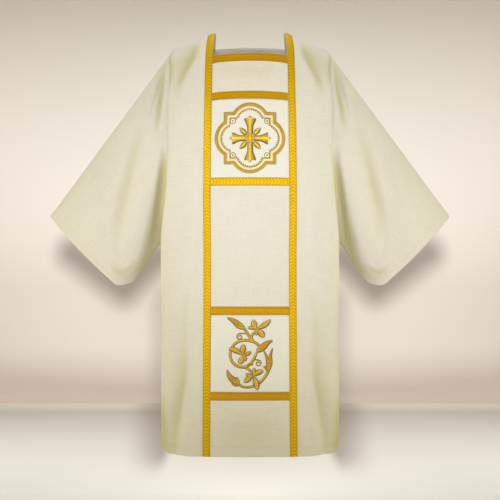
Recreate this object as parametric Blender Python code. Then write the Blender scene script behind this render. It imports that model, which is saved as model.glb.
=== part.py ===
"""Dalmatic: a deacon's outer vestment, in the hollow form it has when it is worn.

Metres, +Z up, the front faces -Y. The origin is the middle of the neck opening, at the height
of the shoulder line, where the wearer's shoulders hold the garment up.

The whole garment is first modelled as one sewn surface: a front and a back on the same lattice
of columns and rows, and two sleeves that grow out of the armholes. Each piece is then cut from
that surface along its seams, drawn back from its neighbours by half the seam gap, and given its
thickness. Braid and panels are cut from the same lattice and lifted off the cloth.
"""

from collections import namedtuple
from math import acos, ceil, cos, exp, pi, radians, sin

import bmesh
import bpy
from mathutils import Vector

# Cloth and trim thicknesses, and the clearances between pieces.
CLOTH = 0.0020
BRAID = 0.0015
PANEL = 0.0010
APPLIQUE = 0.0012
GAP = 0.0003
APPLIQUE_LIFT = 0.0006

# Lengths and heights. A height is measured from the shoulder line, downwards negative.
LENGTH = 1.255
UNDERARM = -0.636
SHOULDER_ZONE = -0.350
BACK_NECK = -0.032
BAND = 0.0235

# The upper crossbands arch: their ends hang lower, most of all at this height.
ARCH = 0.009
ARCH_HEIGHT = -0.100
ARCH_HALF = 0.110

# Width of the long galloons.
GALLOON = 0.023

# A fold dies out towards a seam that lies on the middle plane, over this distance.
FOLD_FREE = 0.060

# How fast the cloth rounds over from the shoulder line to the hanging front and back.
FRONT_ROUND = 0.300
BACK_ROUND = 0.160

# Lattice: cells across each part of the body, along the sleeve, and the tallest row.
SIDE_CELLS = 7
GALLOON_CELLS = 2
CENTRE_CELLS = 10
SLEEVE_CELLS = 9
ROW_STEP = 0.055

# The sleeve's cuff, from its upper corner to the crossing of its lower edges.
CUFF_TOP = Vector((0.604, 0.0, -0.552))
CUFF_LOW = Vector((0.379, 0.0, -0.781))
CUFF_BOW = 0.005
CUFF_HALF_DEPTH = 0.060
CUFF_CORNER = 0.022

# The sleeve's underside leaves the underarm level and then bends down along the arm.
CROTCH_LIFT = 0.024
CROTCH_START = 0.74
CROTCH_FADE = 3

# Front crossbands, by the height of their upper edge.
Crossband = namedtuple("Crossband", "name top drop")
CROSSBANDS = (
    Crossband("crossband_neck", -0.0745, BAND),
    Crossband("crossband_chest", -0.1860, 0.0240),
    Crossband("crossband_waist", -0.4430, 0.0245),
    Crossband("crossband_knee", -0.8190, 0.0255),
    Crossband("crossband_shin", -1.0670, 0.0255),
)

# The shoulder line from the neck to the armhole.
Shoulder = namedtuple("Shoulder", "across height")
SHOULDER_LINE = (
    Shoulder(0.090, 0.0030),
    Shoulder(0.112, 0.0000),
    Shoulder(0.134, -0.0110),
    Shoulder(0.158, -0.0220),
    Shoulder(0.200, -0.0415),
    Shoulder(0.232, -0.0500),
    Shoulder(0.243, -0.0660),
)

# The body's side: the armhole down to the underarm, and the side seam below it. The cloth
# folds forward and back over the seam, which is tucked in between the two folds.
Side = namedtuple("Side", "height half_width tuck")
SIDE_LINE = (
    Side(-0.066, 0.2430, 0.000),
    Side(-0.121, 0.2380, 0.000),
    Side(-0.223, 0.2385, 0.000),
    Side(-0.330, 0.2350, 0.002),
    Side(-0.430, 0.2560, 0.012),
    Side(-0.560, 0.2730, 0.026),
    Side(-0.640, 0.2800, 0.030),
    Side(-0.780, 0.2780, 0.020),
    Side(-0.980, 0.2715, 0.006),
    Side(-1.255, 0.2685, 0.000),
)
TUCK_START = 0.72

# How far the front and the back stand away from the middle plane, and how square they turn.
Hang = namedtuple("Hang", "height front back squareness")
HANG = (
    Hang(0.000, 0.128, 0.112, 2.30),
    Hang(-0.300, 0.129, 0.118, 2.40),
    Hang(-0.640, 0.137, 0.126, 2.80),
    Hang(-0.950, 0.147, 0.140, 2.90),
    Hang(-1.255, 0.155, 0.150, 2.80),
)

# The middle of the long galloon, which leans in to the neck over the shoulder.
Galloon = namedtuple("Galloon", "height across")
GALLOON_LINE = (
    Galloon(0.000, 0.1150),
    Galloon(-0.040, 0.1200),
    Galloon(-0.190, 0.1225),
    Galloon(-0.480, 0.1260),
    Galloon(-0.700, 0.1245),
    Galloon(-1.255, 0.1270),
)

# The armhole reaches forward and back from the shoulder line by this much, and its shape.
ARMHOLE_REACH = 0.185
ARMHOLE_TOP_POWER = 0.35
ARMHOLE_LOW_POWER = 0.60
BACK_REACH = 0.90

# The largest folds: a ridge stands out, a valley goes in. Heights as above, across from the
# middle, both at the fold's upper and lower end.
Fold = namedtuple("Fold", "top low across_top across_low depth width")
FRONT_FOLDS = (
    Fold(-0.022, -0.170, 0.162, 0.218, -0.0050, 0.012),
    Fold(-0.860, -1.420, 0.190, 0.194, 0.0070, 0.020),
    Fold(-0.900, -1.420, 0.228, 0.229, -0.0110, 0.020),
    Fold(-0.520, -1.150, 0.166, 0.168, -0.0030, 0.014),
)
BACK_FOLDS = (
    Fold(-0.300, -1.420, 0.060, 0.075, -0.0060, 0.030),
    Fold(-0.700, -1.420, 0.185, 0.180, 0.0080, 0.024),
    Fold(-0.760, -1.420, 0.225, 0.222, -0.0100, 0.022),
)

# Soft grooves down the sleeve: along from the armhole, around from the top edge to the lower.
Groove = namedtuple("Groove", "along_top along_low around_top around_low depth width")
SLEEVE_GROOVES = (
    Groove(0.040, 0.200, 0.020, 0.260, -0.0060, 0.035),
    Groove(0.360, 0.800, 0.380, 0.700, -0.0060, 0.080),
)

# Quatrefoil medallion: four round lobes over a square, and the height of its middle.
LOBE_RADIUS = 0.0530
LOBE_OFFSET = 0.0500
SQUARE_HALF = 0.0765
LOBE_SEGMENTS = 10
SPOKE_CUTS = 2
MEDALLION_HEIGHT = -0.3285

IVORY = (0.80, 0.76, 0.63)
OFF_WHITE = (0.86, 0.84, 0.74)
GOLD = (0.72, 0.42, 0.03)
ANTIQUE_GOLD = (0.52, 0.32, 0.08)

FRONT, BACK, LEFT, RIGHT = range(4)


def eased(table, column, at):
    """Read a column of a table at a place along its first column, as a smooth curve."""
    keys = [row[0] for row in table]
    values = [getattr(row, column) for row in table]
    if keys[0] > keys[-1]:
        keys.reverse()
        values.reverse()
    at = min(max(at, keys[0]), keys[-1])
    cell = max(k for k in range(len(keys) - 1) if keys[k] <= at)

    def slope(k):
        low, high = max(k - 1, 0), min(k + 1, len(keys) - 1)
        return (values[high] - values[low]) / (keys[high] - keys[low])

    span = keys[cell + 1] - keys[cell]
    t = (at - keys[cell]) / span
    start = values[cell] * (1 + 2 * t) * (1 - t) ** 2
    end = values[cell + 1] * t * t * (3 - 2 * t)
    lean = slope(cell) * t * (1 - t) ** 2 - slope(cell + 1) * t * t * (1 - t)
    return start + end + lean * span


def ramp(value, start, end):
    """0 before start, 1 after end, and an even slope without corners between them."""
    t = min(max((value - start) / (end - start), 0.0), 1.0)
    return t * t * (3 - 2 * t)


def row_heights():
    """Heights of the lattice rows: every edge of a band, and even cells between them."""
    edges = [BACK_NECK, BACK_NECK - BAND, UNDERARM, -LENGTH]
    for band in CROSSBANDS:
        edges += [band.top, band.top - band.drop]
    edges.sort(reverse=True)
    rows = [0.0, edges[0] / 4]
    for upper, lower in zip(edges, edges[1:]):
        cells = ceil((upper - lower) / ROW_STEP)
        rows += [upper + (lower - upper) * k / cells for k in range(cells)]
    return rows + [-LENGTH]


ROWS = row_heights()
UNDERARM_ROW = ROWS.index(UNDERARM)
COLUMNS = 2 * (SIDE_CELLS + GALLOON_CELLS) + CENTRE_CELLS
GALLOON_COLUMNS = (SIDE_CELLS, SIDE_CELLS + GALLOON_CELLS)
CENTRE_COLUMNS = (GALLOON_COLUMNS[1], GALLOON_COLUMNS[1] + CENTRE_CELLS)


def side_height(height):
    """A row's height where it meets the armhole or the side seam."""
    top = SIDE_LINE[0].height
    return height if height < SHOULDER_ZONE else top + height * (1 - top / SHOULDER_ZONE)


def armhole_reach(height, side):
    """How far the armhole's edge stands from the middle plane at a height of its own."""
    top = SIDE_LINE[0].height
    q = min(max((top - height) / (top - UNDERARM), 0.0), 1.0)
    reach = ARMHOLE_REACH * q ** ARMHOLE_TOP_POWER * (1 - q) ** ARMHOLE_LOW_POWER
    return reach * (BACK_REACH if side == BACK else 1.0)


def fold_at(folds, across, height):
    """Sum of the folds at a place, outwards positive."""
    total = 0.0
    for fold in folds:
        along = (fold.top - height) / (fold.top - fold.low)
        if 0.0 < along < 1.0:
            middle = fold.across_top + (fold.across_low - fold.across_top) * along
            total += fold.depth * sin(pi * along) * exp(-(((across - middle) / fold.width) ** 2))
    return total


def body_point(side, height, across=None, turn=None):
    """A place on the front or the back, by its distance across or by its turn to the side.

    turn runs from 0 in the middle to 1 at the armhole or the side seam.
    """
    edge_height = side_height(height)
    half_width = eased(SIDE_LINE, "half_width", edge_height)
    edge_depth = armhole_reach(edge_height, side)
    power = 2.0 / eased(HANG, "squareness", height)
    zone = BACK_ROUND if side == BACK else FRONT_ROUND
    depth = eased(HANG, "back" if side == BACK else "front", height)
    if height > -zone:
        depth *= (1.0 - (1.0 + height / zone) ** 2) ** 0.5
    if turn is None:
        turn = turn_at(abs(across) / half_width, power)
        sign = -1.0 if across < 0 else 1.0
    else:
        sign = -1.0 if turn < 0 else 1.0
        turn = abs(turn)
    angle = turn * pi / 2
    x = half_width * sin(angle) ** power
    x -= eased(SIDE_LINE, "tuck", edge_height) * ramp(turn, TUCK_START, 1.0)
    y = edge_depth + (depth - edge_depth) * max(cos(angle), 0.0) ** power
    shoulder = eased(SHOULDER_LINE, "height", x)
    z = height
    if height > SHOULDER_ZONE:
        z = shoulder + height * (1 - shoulder / SHOULDER_ZONE)
    bow = height / ARCH_HEIGHT
    z -= ARCH * bow * exp(1 - bow) * (min(x / ARCH_HALF, 1.0) ** 2)
    folds = BACK_FOLDS if side == BACK else FRONT_FOLDS
    y += fold_at(folds, x, z) * ramp(y, 0.0, FOLD_FREE)
    return Vector((sign * x, y if side == BACK else -y, z))


def turn_at(fraction, power):
    """The turn that brings a point to a fraction of the half width."""
    sine = min(fraction, 1.0) ** (1.0 / power)
    return 1.0 - acos(sine) / (pi / 2)


def lattice_point(side, column, row):
    """The garment's surface at a lattice crossing."""
    height = ROWS[row]
    middle = eased(GALLOON_LINE, "across", height)
    inner, outer = middle - GALLOON / 2, middle + GALLOON / 2
    from_centre = column - COLUMNS / 2
    sign = -1.0 if from_centre < 0 else 1.0
    steps = abs(from_centre) - CENTRE_CELLS / 2
    if steps <= 0:
        return body_point(side, height, across=inner * from_centre / (CENTRE_CELLS / 2))
    if steps <= GALLOON_CELLS:
        across = inner + (outer - inner) * steps / GALLOON_CELLS
        return body_point(side, height, across=sign * across)
    half_width = eased(SIDE_LINE, "half_width", side_height(height))
    power = 2.0 / eased(HANG, "squareness", height)
    start = turn_at(outer / half_width, power)
    turn = start + (1.0 - start) * (steps - GALLOON_CELLS) / SIDE_CELLS
    return body_point(side, height, turn=sign * turn)


def sleeve_point(arm, around, along):
    """The sleeve's surface. around counts lattice rows down the front and up the back."""
    side = FRONT if around <= UNDERARM_ROW else BACK
    row = around if side == FRONT else 2 * UNDERARM_ROW - around
    start = body_point(side, ROWS[row], turn=1.0)
    top = SIDE_LINE[0].height
    q = min(max((top - start.z) / (top - UNDERARM), 0.0), 1.0)
    end = CUFF_TOP.lerp(CUFF_LOW, q)
    arm_line = (CUFF_TOP - Vector((SIDE_LINE[0].half_width, 0.0, top))).normalized()
    end += arm_line * CUFF_BOW * sin(pi * q)
    end -= arm_line * CUFF_CORNER * ramp(q, 0.86, 1.0)
    facing = -1.0 if side == FRONT else 1.0
    end.y = facing * CUFF_HALF_DEPTH * (4 * q * (1 - q)) ** 0.5
    place = start.lerp(end, along)
    peak = CROTCH_FADE ** CROTCH_FADE / (CROTCH_FADE + 1) ** (CROTCH_FADE + 1)
    lift = along * (1 - along) ** CROTCH_FADE / peak
    place.z += CROTCH_LIFT * lift * ramp(q, CROTCH_START, 1.0)
    for groove in SLEEVE_GROOVES:
        reach = (along - groove.along_top) / (groove.along_low - groove.along_top)
        if 0.0 < reach < 1.0:
            middle = groove.around_top + (groove.around_low - groove.around_top) * reach
            bell = exp(-(((q - middle) / groove.width) ** 2))
            place.y += facing * groove.depth * sin(pi * reach) * bell
    if arm == LEFT:
        place.x = -place.x
    return place


def sew_garment():
    """The whole garment as one surface, its faces tagged with piece, column and row."""
    garment = bmesh.new()
    piece = garment.faces.layers.int.new("piece")
    column_tag = garment.faces.layers.int.new("column")
    row_tag = garment.faces.layers.int.new("row")

    def add(name, columns, rows, place):
        grid = bmesh.ops.create_grid(garment, x_segments=columns, y_segments=rows, size=0.5)
        spots = {v: (round((v.co.x + 0.5) * columns), round((v.co.y + 0.5) * rows)) for v in grid["verts"]}
        faces = {face for vert in grid["verts"] for face in vert.link_faces}
        for face in faces:
            face[piece] = name
            face[column_tag] = min(spots[v][0] for v in face.verts)
            face[row_tag] = min(spots[v][1] for v in face.verts)
        for vert, (column, row) in spots.items():
            vert.co = place(column, row)

    rows = len(ROWS) - 1
    for side in (FRONT, BACK):
        add(side, COLUMNS, rows, lambda column, row, side=side: lattice_point(side, column, row))
    for arm in (LEFT, RIGHT):
        add(
            arm, 2 * UNDERARM_ROW, SLEEVE_CELLS,
            lambda around, step, arm=arm: sleeve_point(arm, around, step / SLEEVE_CELLS),
        )
    necks = {FRONT: ROWS.index(CROSSBANDS[0].top), BACK: ROWS.index(BACK_NECK)}
    first, last = CENTRE_COLUMNS
    opening = [
        face for face in garment.faces
        if face[row_tag] < necks.get(face[piece], 0) and first <= face[column_tag] < last
    ]
    bmesh.ops.delete(garment, geom=opening, context="FACES")
    bmesh.ops.remove_doubles(garment, verts=garment.verts[:], dist=GAP / 3)
    bmesh.ops.recalc_face_normals(garment, faces=garment.faces[:])
    garment.normal_update()
    outward = garment.verts.layers.float_vector.new("outward")
    for vert in garment.verts:
        vert[outward] = vert.normal
    return garment


def draw_back(mesh, distance):
    """Move the edge of a cut piece inwards along its own surface."""
    outward = mesh.verts.layers.float_vector["outward"]
    moves = {}
    for vert in mesh.verts:
        if not vert.is_boundary:
            continue
        border = [edge.other_vert(vert).co for edge in vert.link_edges if edge.is_boundary]
        inner = [edge.other_vert(vert).co for edge in vert.link_edges if not edge.is_boundary]
        inward = Vector()
        for place in inner or border:
            inward += (place - vert.co).normalized()
        along = (border[0] - border[1]).normalized() if inner else Vector()
        for axis in (along, vert[outward]):
            inward -= axis * inward.dot(axis)
        moves[vert] = inward.normalized() * distance * (1.0 if inner else 1.5)
    for vert, move in moves.items():
        vert.co += move


def thicken(mesh, inner, outer):
    """Turn a surface into a closed wall between two distances along its outward direction.

    The wall's edge faces twist along a curved seam, so each is split from its lower outer corner
    to its upper inner one, which makes the two edges along a seam alike.
    """
    outward = mesh.verts.layers.float_vector["outward"]
    surface = set(mesh.verts)
    faces = set(mesh.faces)
    grown = bmesh.ops.extrude_face_region(mesh, geom=mesh.faces[:])["geom"]
    faces.update(item for item in grown if isinstance(item, bmesh.types.BMFace))
    for vert in mesh.verts:
        vert.co += vert[outward] * (outer if vert in surface else inner)
    for face in [face for face in mesh.faces if face not in faces]:
        low = min((vert for vert in face.verts if vert in surface), key=lambda vert: vert.co.z)
        high = max((vert for vert in face.verts if vert not in surface), key=lambda vert: vert.co.z)
        if not any(low in edge.verts and high in edge.verts for edge in face.edges):
            bmesh.utils.face_split(face, low, high)
    bmesh.ops.recalc_face_normals(mesh, faces=mesh.faces[:])


def paint(name, colour, roughness, metallic):
    material = bpy.data.materials.new(name)
    material.use_nodes = True
    shader = material.node_tree.nodes["Principled BSDF"]
    shader.inputs["Base Color"].default_value = (*colour, 1.0)
    shader.inputs["Roughness"].default_value = roughness
    shader.inputs["Metallic"].default_value = metallic
    return material


def add_object(name, mesh, material):
    data = bpy.data.meshes.new(name)
    mesh.to_mesh(data)
    mesh.free()
    data.shade_smooth()
    data.set_sharp_from_angle(angle=radians(40))
    data.materials.append(material)
    bpy.context.collection.objects.link(bpy.data.objects.new(name, data))


def cut_piece(garment, name, wanted, inner, outer, material):
    """Cut one piece out of the sewn garment and give it its wall.

    wanted says which faces belong to the piece, from their piece, column and row.
    """
    mesh = garment.copy()
    tags = [mesh.faces.layers.int[tag] for tag in ("piece", "column", "row")]
    others = [face for face in mesh.faces if not wanted(*(face[tag] for tag in tags))]
    bmesh.ops.delete(mesh, geom=others, context="FACES")
    draw_back(mesh, GAP / 2)
    thicken(mesh, inner, outer)
    add_object(name, mesh, material)


def add_cloth(garment):
    for name, number in (("front", FRONT), ("back", BACK), ("sleeve_left", LEFT), ("sleeve_right", RIGHT)):
        cut_piece(
            garment, name, lambda piece, column, row, number=number: piece == number,
            inner=-CLOTH, outer=0.0, material=paint(name + "_cloth", IVORY, 0.85, 0.0),
        )


def add_galloons(garment):
    """Long braids, each from the front hem over the shoulder to the back hem."""
    first, last = GALLOON_COLUMNS
    spans = {"galloon_left": (first, last), "galloon_right": (COLUMNS - last, COLUMNS - first)}
    for name, (start, end) in spans.items():
        cut_piece(
            garment, name,
            lambda piece, column, row, start=start, end=end: piece in (FRONT, BACK) and start <= column < end,
            inner=GAP, outer=GAP + BRAID, material=paint(name + "_braid", GOLD, 0.45, 0.4),
        )


def add_between_galloons(garment, name, side, top, low, thickness, material):
    """A strip or panel that fills the width between the long galloons."""
    first, last = CENTRE_COLUMNS
    rows = range(ROWS.index(top), ROWS.index(low))
    cut_piece(
        garment, name,
        lambda piece, column, row: piece == side and first <= column < last and row in rows,
        inner=GAP, outer=GAP + thickness, material=material,
    )


def add_bands(garment):
    for band in CROSSBANDS:
        braid = paint(band.name + "_braid", GOLD, 0.45, 0.4)
        add_between_galloons(garment, band.name, FRONT, band.top, band.top - band.drop, BRAID, braid)
    braid = paint("back_neck_band_braid", GOLD, 0.45, 0.4)
    add_between_galloons(garment, "back_neck_band", BACK, BACK_NECK, BACK_NECK - BAND, BRAID, braid)


def add_panels(garment):
    spans = {"panel_upper": CROSSBANDS[1:3], "panel_lower": CROSSBANDS[3:5]}
    for name, (above, below) in spans.items():
        top, low = above.top - above.drop, below.top
        cloth = paint(name + "_cloth", OFF_WHITE, 0.8, 0.0)
        add_between_galloons(garment, name, FRONT, top, low, PANEL, cloth)


def quatrefoil():
    """Outline of the medallion: a lobe and a corner of the square on each of four sides."""
    lean = acos((SQUARE_HALF - LOBE_OFFSET) / LOBE_RADIUS)
    points = []
    for quarter in range(4):
        facing = pi / 2 * quarter
        middle = Vector((cos(facing), sin(facing))) * LOBE_OFFSET
        for step in range(LOBE_SEGMENTS + 1):
            angle = facing - lean + 2 * lean * step / LOBE_SEGMENTS
            points.append(middle + Vector((cos(angle), sin(angle))) * LOBE_RADIUS)
        corner = facing + pi / 4
        points.append(Vector((cos(corner), sin(corner))) * SQUARE_HALF * 2 ** 0.5)
    return points


def add_medallion():
    """Thick applique on the upper panel, following the front's form."""
    outline = quatrefoil()
    mesh = bmesh.new()
    disc = bmesh.ops.create_circle(mesh, cap_ends=True, cap_tris=True, radius=1.0, segments=len(outline))
    rim = [vert for vert in disc["verts"] if vert.is_boundary]
    spokes = [edge for edge in mesh.edges if not edge.is_boundary]
    for vert, place in zip(rim, outline):
        vert.co = (place.x, place.y, 0.0)
    bmesh.ops.subdivide_edges(mesh, edges=spokes, cuts=SPOKE_CUTS)
    outward = mesh.verts.layers.float_vector.new("outward")
    step = 0.002
    for vert in mesh.verts:
        across, height = vert.co.x, MEDALLION_HEIGHT + vert.co.y
        vert.co = body_point(FRONT, height, across=across)
        level = body_point(FRONT, height, across=across + step) - vert.co
        upward = body_point(FRONT, height + step, across=across) - vert.co
        vert[outward] = level.cross(upward).normalized()
    lift = GAP + PANEL + APPLIQUE_LIFT
    thicken(mesh, lift, lift + APPLIQUE)
    add_object("medallion", mesh, paint("medallion_thread", ANTIQUE_GOLD, 0.5, 0.3))


for old in list(bpy.data.objects):
    bpy.data.objects.remove(old, do_unlink=True)

sewn = sew_garment()
add_cloth(sewn)
add_galloons(sewn)
add_bands(sewn)
add_panels(sewn)
add_medallion()
sewn.free()
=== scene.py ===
"""Dalmatic, a deacon's outer vestment, in the hollow form it has when it is worn.

The pieces are made in the order of the workroom: cloth, long galloons, crossbands, panels, and
then the embroidery. Metres, +Z up, and the front faces -Y.
"""

from collections import namedtuple
from math import acos, cos, exp, hypot, log, pi, radians, sin

import bmesh
import bpy
from mathutils import Matrix, Vector, noise


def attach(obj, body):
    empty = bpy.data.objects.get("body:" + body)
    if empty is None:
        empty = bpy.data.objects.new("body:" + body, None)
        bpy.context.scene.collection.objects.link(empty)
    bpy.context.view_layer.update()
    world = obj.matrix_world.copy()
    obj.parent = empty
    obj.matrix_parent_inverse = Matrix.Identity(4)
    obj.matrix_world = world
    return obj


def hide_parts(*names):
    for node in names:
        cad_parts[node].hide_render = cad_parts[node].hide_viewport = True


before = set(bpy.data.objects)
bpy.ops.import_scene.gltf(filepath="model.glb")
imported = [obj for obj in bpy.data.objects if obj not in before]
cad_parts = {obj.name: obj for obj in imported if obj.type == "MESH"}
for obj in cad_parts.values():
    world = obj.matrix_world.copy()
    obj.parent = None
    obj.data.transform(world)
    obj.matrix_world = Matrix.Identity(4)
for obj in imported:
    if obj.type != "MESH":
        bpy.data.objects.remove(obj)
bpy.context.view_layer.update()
scene = bpy.context.scene

# ------------------------------------------------------------------------------ camera
# A level view of the front, from just over three metres away and at hip height.
lens = bpy.data.cameras.new("camera")
lens.sensor_width = 36.0
lens.lens = 79.45
camera = bpy.data.objects.new("camera", lens)
camera.location = (0.0, -3.35, -0.655)
camera.rotation_euler = (pi / 2, 0.0, 0.0)
scene.collection.objects.link(camera)
scene.camera = camera
scene.view_settings.view_transform = "Standard"


# ------------------------------------------------------------------------------ studio
# A pale warm backdrop that runs down into the floor in a tight cove. The floor lies where the
# wearer would stand. A soft lamp at either side of the camera and a large soft box on either side
# of the garment light its front, one lamp the neck, two the back, and three only the backdrop. The
# backdrop shows on one side only, so that the garment can be seen from behind too.
class Wire:
    """A material's socket that can stand in sums, so that shader maths reads as maths."""

    def __init__(self, socket):
        self.socket = socket

    def node(self, kind, settings=None, sockets=None, output=0):
        """Add a node: first its settings, then the values or the wires of its sockets."""
        node = self.socket.id_data.nodes.new(kind)
        for name, value in (settings or {}).items():
            setattr(node, name, value)
        for name, value in (sockets or {}).items():
            self.feed(node.inputs[name], value)
        return Wire(node.outputs[output])

    def feed(self, target, value):
        if isinstance(value, Wire):
            target.id_data.links.new(value.socket, target)
        else:
            target.default_value = value

    def maths(self, operation, *values):
        return self.node("ShaderNodeMath", {"operation": operation}, dict(enumerate(values)))

    def __add__(self, other):
        return self.maths("ADD", self, other)

    def __sub__(self, other):
        return self.maths("SUBTRACT", self, other)

    def __rsub__(self, other):
        return self.maths("SUBTRACT", other, self)

    def __mul__(self, other):
        return self.maths("MULTIPLY", self, other)

    def __pow__(self, other):
        return self.maths("POWER", self, other)

    def __abs__(self):
        return self.maths("ABSOLUTE", self)

    __radd__ = __add__
    __rmul__ = __mul__


def new_material(name, **same_all_over):
    """A material with the values that don't vary over it, its shader, and a wire to add to."""
    material = bpy.data.materials.new(name)
    material.use_nodes = True
    shader = material.node_tree.nodes["Principled BSDF"]
    for socket, value in same_all_over.items():
        shader.inputs[socket.replace("_", " ")].default_value = value
    return material, shader, Wire(shader.inputs["Base Color"])


def tint(wire, share, plain, marked):
    """Colour that goes from plain, where the share is 0, to marked, where it is 1."""
    colours = [value if isinstance(value, Wire) else (*value, 1.0) for value in (plain, marked)]
    sockets = {0: share, 6: colours[0], 7: colours[1]}
    return wire.node("ShaderNodeMix", {"data_type": "RGBA"}, sockets, output=2)


def axis(wire, letter):
    return wire.node("ShaderNodeSeparateXYZ", sockets={0: wire}, output=letter)


def mask(wire, start, end, most=1.0):
    """0 up to the start, the most from the end on, and a smooth slope between them."""
    return wire.node(
        "ShaderNodeMapRange", {"interpolation_type": "SMOOTHSTEP"},
        {"Value": wire, "From Min": start, "From Max": end, "To Max": most},
    )


FLOOR = -1.47
WALL = 2.3
COVE = 0.1
COVE_STEPS = 10
ROOM_HALF = 5.0
ROOM_HEIGHT = 3.2
PAPER, PAPER_FAR_OUT = (0.8, 0.735, 0.72), (0.515, 0.43, 0.385)
PALE_FLOOR, FAR_FLOOR = (0.93, 0.92, 0.9), (0.56, 0.51, 0.47)
PAPER_SHADED, FLOOR_SHADED = (0.28, 0.235, 0.215), (0.31, 0.26, 0.22)

# Where the paper and the floor darken, as painted light and shade: from a start to an end, and by
# how much at most.
GLOW_HEIGHT = -0.13
GLOW_STRETCH = (0.45, 0.95)
GLOW_LOWEST = -0.85
GLOW_END = (0.35, 1.35)
LOW_PAPER = (-1.12, -1.46, 0.8)
FLOOR_START, FLOOR_END, FLOOR_POWER = 0.38, 2.2, 0.7
CUFF_SHADE = ((0.905, -0.672), (0.645, -0.858), (0.476, -0.69))
CUFF_SHADE_GAP = (0.155, 0.0, 0.9)
SIDE_SHADE = (0.56, 0.44, 0.42)
SIDE_SHADE_HEIGHT = (-0.72, -0.95)
FLOOR_SHADE_SPREAD = 0.1
FLOOR_SHADE = (0.42, 0.22)
FLOOR_SHADE_GAP = (0.3, 0.36, 0.82)
FLOOR_SHADE_DEPTH = (0.5, 1.1)


def build_backdrop():
    mesh = bmesh.new()
    start = mesh.verts.new((-ROOM_HALF, -ROOM_HALF, FLOOR))
    turn = mesh.verts.new((-ROOM_HALF, WALL - COVE, FLOOR))
    mesh.edges.new((start, turn))
    bmesh.ops.spin(
        mesh, geom=[turn], cent=(0.0, WALL - COVE, FLOOR + COVE), axis=(1.0, 0.0, 0.0),
        angle=pi / 2, steps=COVE_STEPS,
    )
    top = max(mesh.verts, key=lambda vert: vert.co.z)
    mesh.edges.new((top, mesh.verts.new((-ROOM_HALF, WALL, ROOM_HEIGHT))))
    swept = bmesh.ops.extrude_edge_only(mesh, edges=mesh.edges[:])["geom"]
    moved = [item for item in swept if isinstance(item, bmesh.types.BMVert)]
    bmesh.ops.translate(mesh, verts=moved, vec=(2 * ROOM_HALF, 0.0, 0.0))
    bmesh.ops.recalc_face_normals(mesh, faces=mesh.faces[:])
    bmesh.ops.reverse_faces(mesh, faces=mesh.faces[:])
    data = bpy.data.meshes.new("backdrop")
    mesh.to_mesh(data)
    mesh.free()
    data.shade_smooth()
    backdrop = bpy.data.objects.new("backdrop", data)
    scene.collection.objects.link(backdrop)

    material, shader, wire = new_material("backdrop", Roughness=0.9)
    place = wire.node("ShaderNodeTexCoord", output="Object")
    across, depth, height = (axis(place, letter) for letter in "XYZ")
    # Painted light: the paper is lightest in a glow round a spot behind the garment and painted darker away
    # from it and low down, and the floor is painted darker farther back.
    wide, high = GLOW_STRETCH
    upper = height.maths("MAXIMUM", height, GLOW_LOWEST)
    away = ((across * wide) ** 2 + ((upper - GLOW_HEIGHT) * high) ** 2) ** 0.5
    far_out = mask(away, *GLOW_END) + mask(height, *LOW_PAPER)
    paper = tint(wire, far_out, PAPER, PAPER_FAR_OUT)
    deep = {"Value": depth, "From Min": FLOOR_START, "From Max": FLOOR_END}
    far_off = depth.node("ShaderNodeMapRange", sockets=deep) ** FLOOR_POWER
    floor = tint(wire, far_off, PALE_FLOOR, FAR_FLOOR)

    # The soft shade of the garment, painted on the paper round its cuffs and its hem and on the floor.
    side = abs(across)
    gap = None
    for start, end in zip(CUFF_SHADE, CUFF_SHADE[1:]):
        run = Vector(end) - Vector(start)
        out, up = side - start[0], height - start[1]
        reach = (out * run[0] + up * run[1]) * (1.0 / run.length_squared)
        reach = reach.maths("MINIMUM", reach.maths("MAXIMUM", reach, 0.0), 1.0)
        to_leg = ((out - reach * run[0]) ** 2 + (up - reach * run[1]) ** 2) ** 0.5
        gap = gap.maths("MINIMUM", gap, to_leg) if gap else to_leg
    cuff_shade = mask(gap, *CUFF_SHADE_GAP)
    side_shade = mask(side, *SIDE_SHADE) * mask(height, *SIDE_SHADE_HEIGHT)
    paper = tint(wire, side.maths("MAXIMUM", cuff_shade, side_shade), paper, PAPER_SHADED)
    floor_shade = mask(side - depth * FLOOR_SHADE_SPREAD, *FLOOR_SHADE) * mask(side, *FLOOR_SHADE_GAP)
    floor = tint(wire, floor_shade * mask(depth, *FLOOR_SHADE_DEPTH), floor, FLOOR_SHADED)
    on_floor = height.maths("LESS_THAN", height, FLOOR + COVE / 3)
    wire.feed(shader.inputs["Base Color"], tint(wire, on_floor, paper, floor))
    from_behind = wire.node("ShaderNodeNewGeometry", output="Backfacing")
    wire.feed(shader.inputs["Alpha"], 1.0 - from_behind)
    data.materials.append(material)


def spot(angle, softness):
    return "SPOT", {"spot_size": radians(angle), "spot_blend": 1.0, "shadow_soft_size": softness}


def box(wide, high):
    return "AREA", {"shape": "RECTANGLE", "size": wide, "size_y": high}


# One lamp of each pair stands at the right, as it is written here, and the other at the left.
Lamp = namedtuple("Lamp", "name place aim power colour shape")
LAMP_PAIRS = (
    Lamp("key", (0.3, -3.6, -0.25), (0.51, 0.0, -0.48), 201.0, (0.83, 0.845, 1.0), spot(32.6, 0.3)),
    Lamp("side_fill", (2.8, -1.6, -0.2), (0.0, 0.0, -0.6), 47.0, (1.0, 0.975, 0.58), box(1.4, 1.7)),
    Lamp("wall_light", (2.0, 0.5, -0.2), (1.6, WALL, -0.4), 21.5, (0.95, 0.96, 1.0), box(1.0, 1.6)),
    Lamp("back_light", (1.6, 2.0, -0.35), (0.1, 0.0, -0.62), 46.0, (1.0, 0.95, 0.82), spot(44.0, 0.3)),
)
SINGLE_LAMPS = (
    Lamp("floor_light", (0.0, 0.45, 1.7), (0.0, 1.25, -1.4), 205.0, (0.96, 0.98, 1.0), spot(82.0, 0.4)),
    Lamp("neck_light", (0.0, -1.6, 0.62), (0.0, 0.08, -0.05), 27.0, (1.0, 0.88, 0.3), spot(14.0, 0.15)),
)
AIR_COLOUR = (1.0, 0.96, 0.84, 1.0)
AIR_STRENGTH = 0.03


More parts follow.
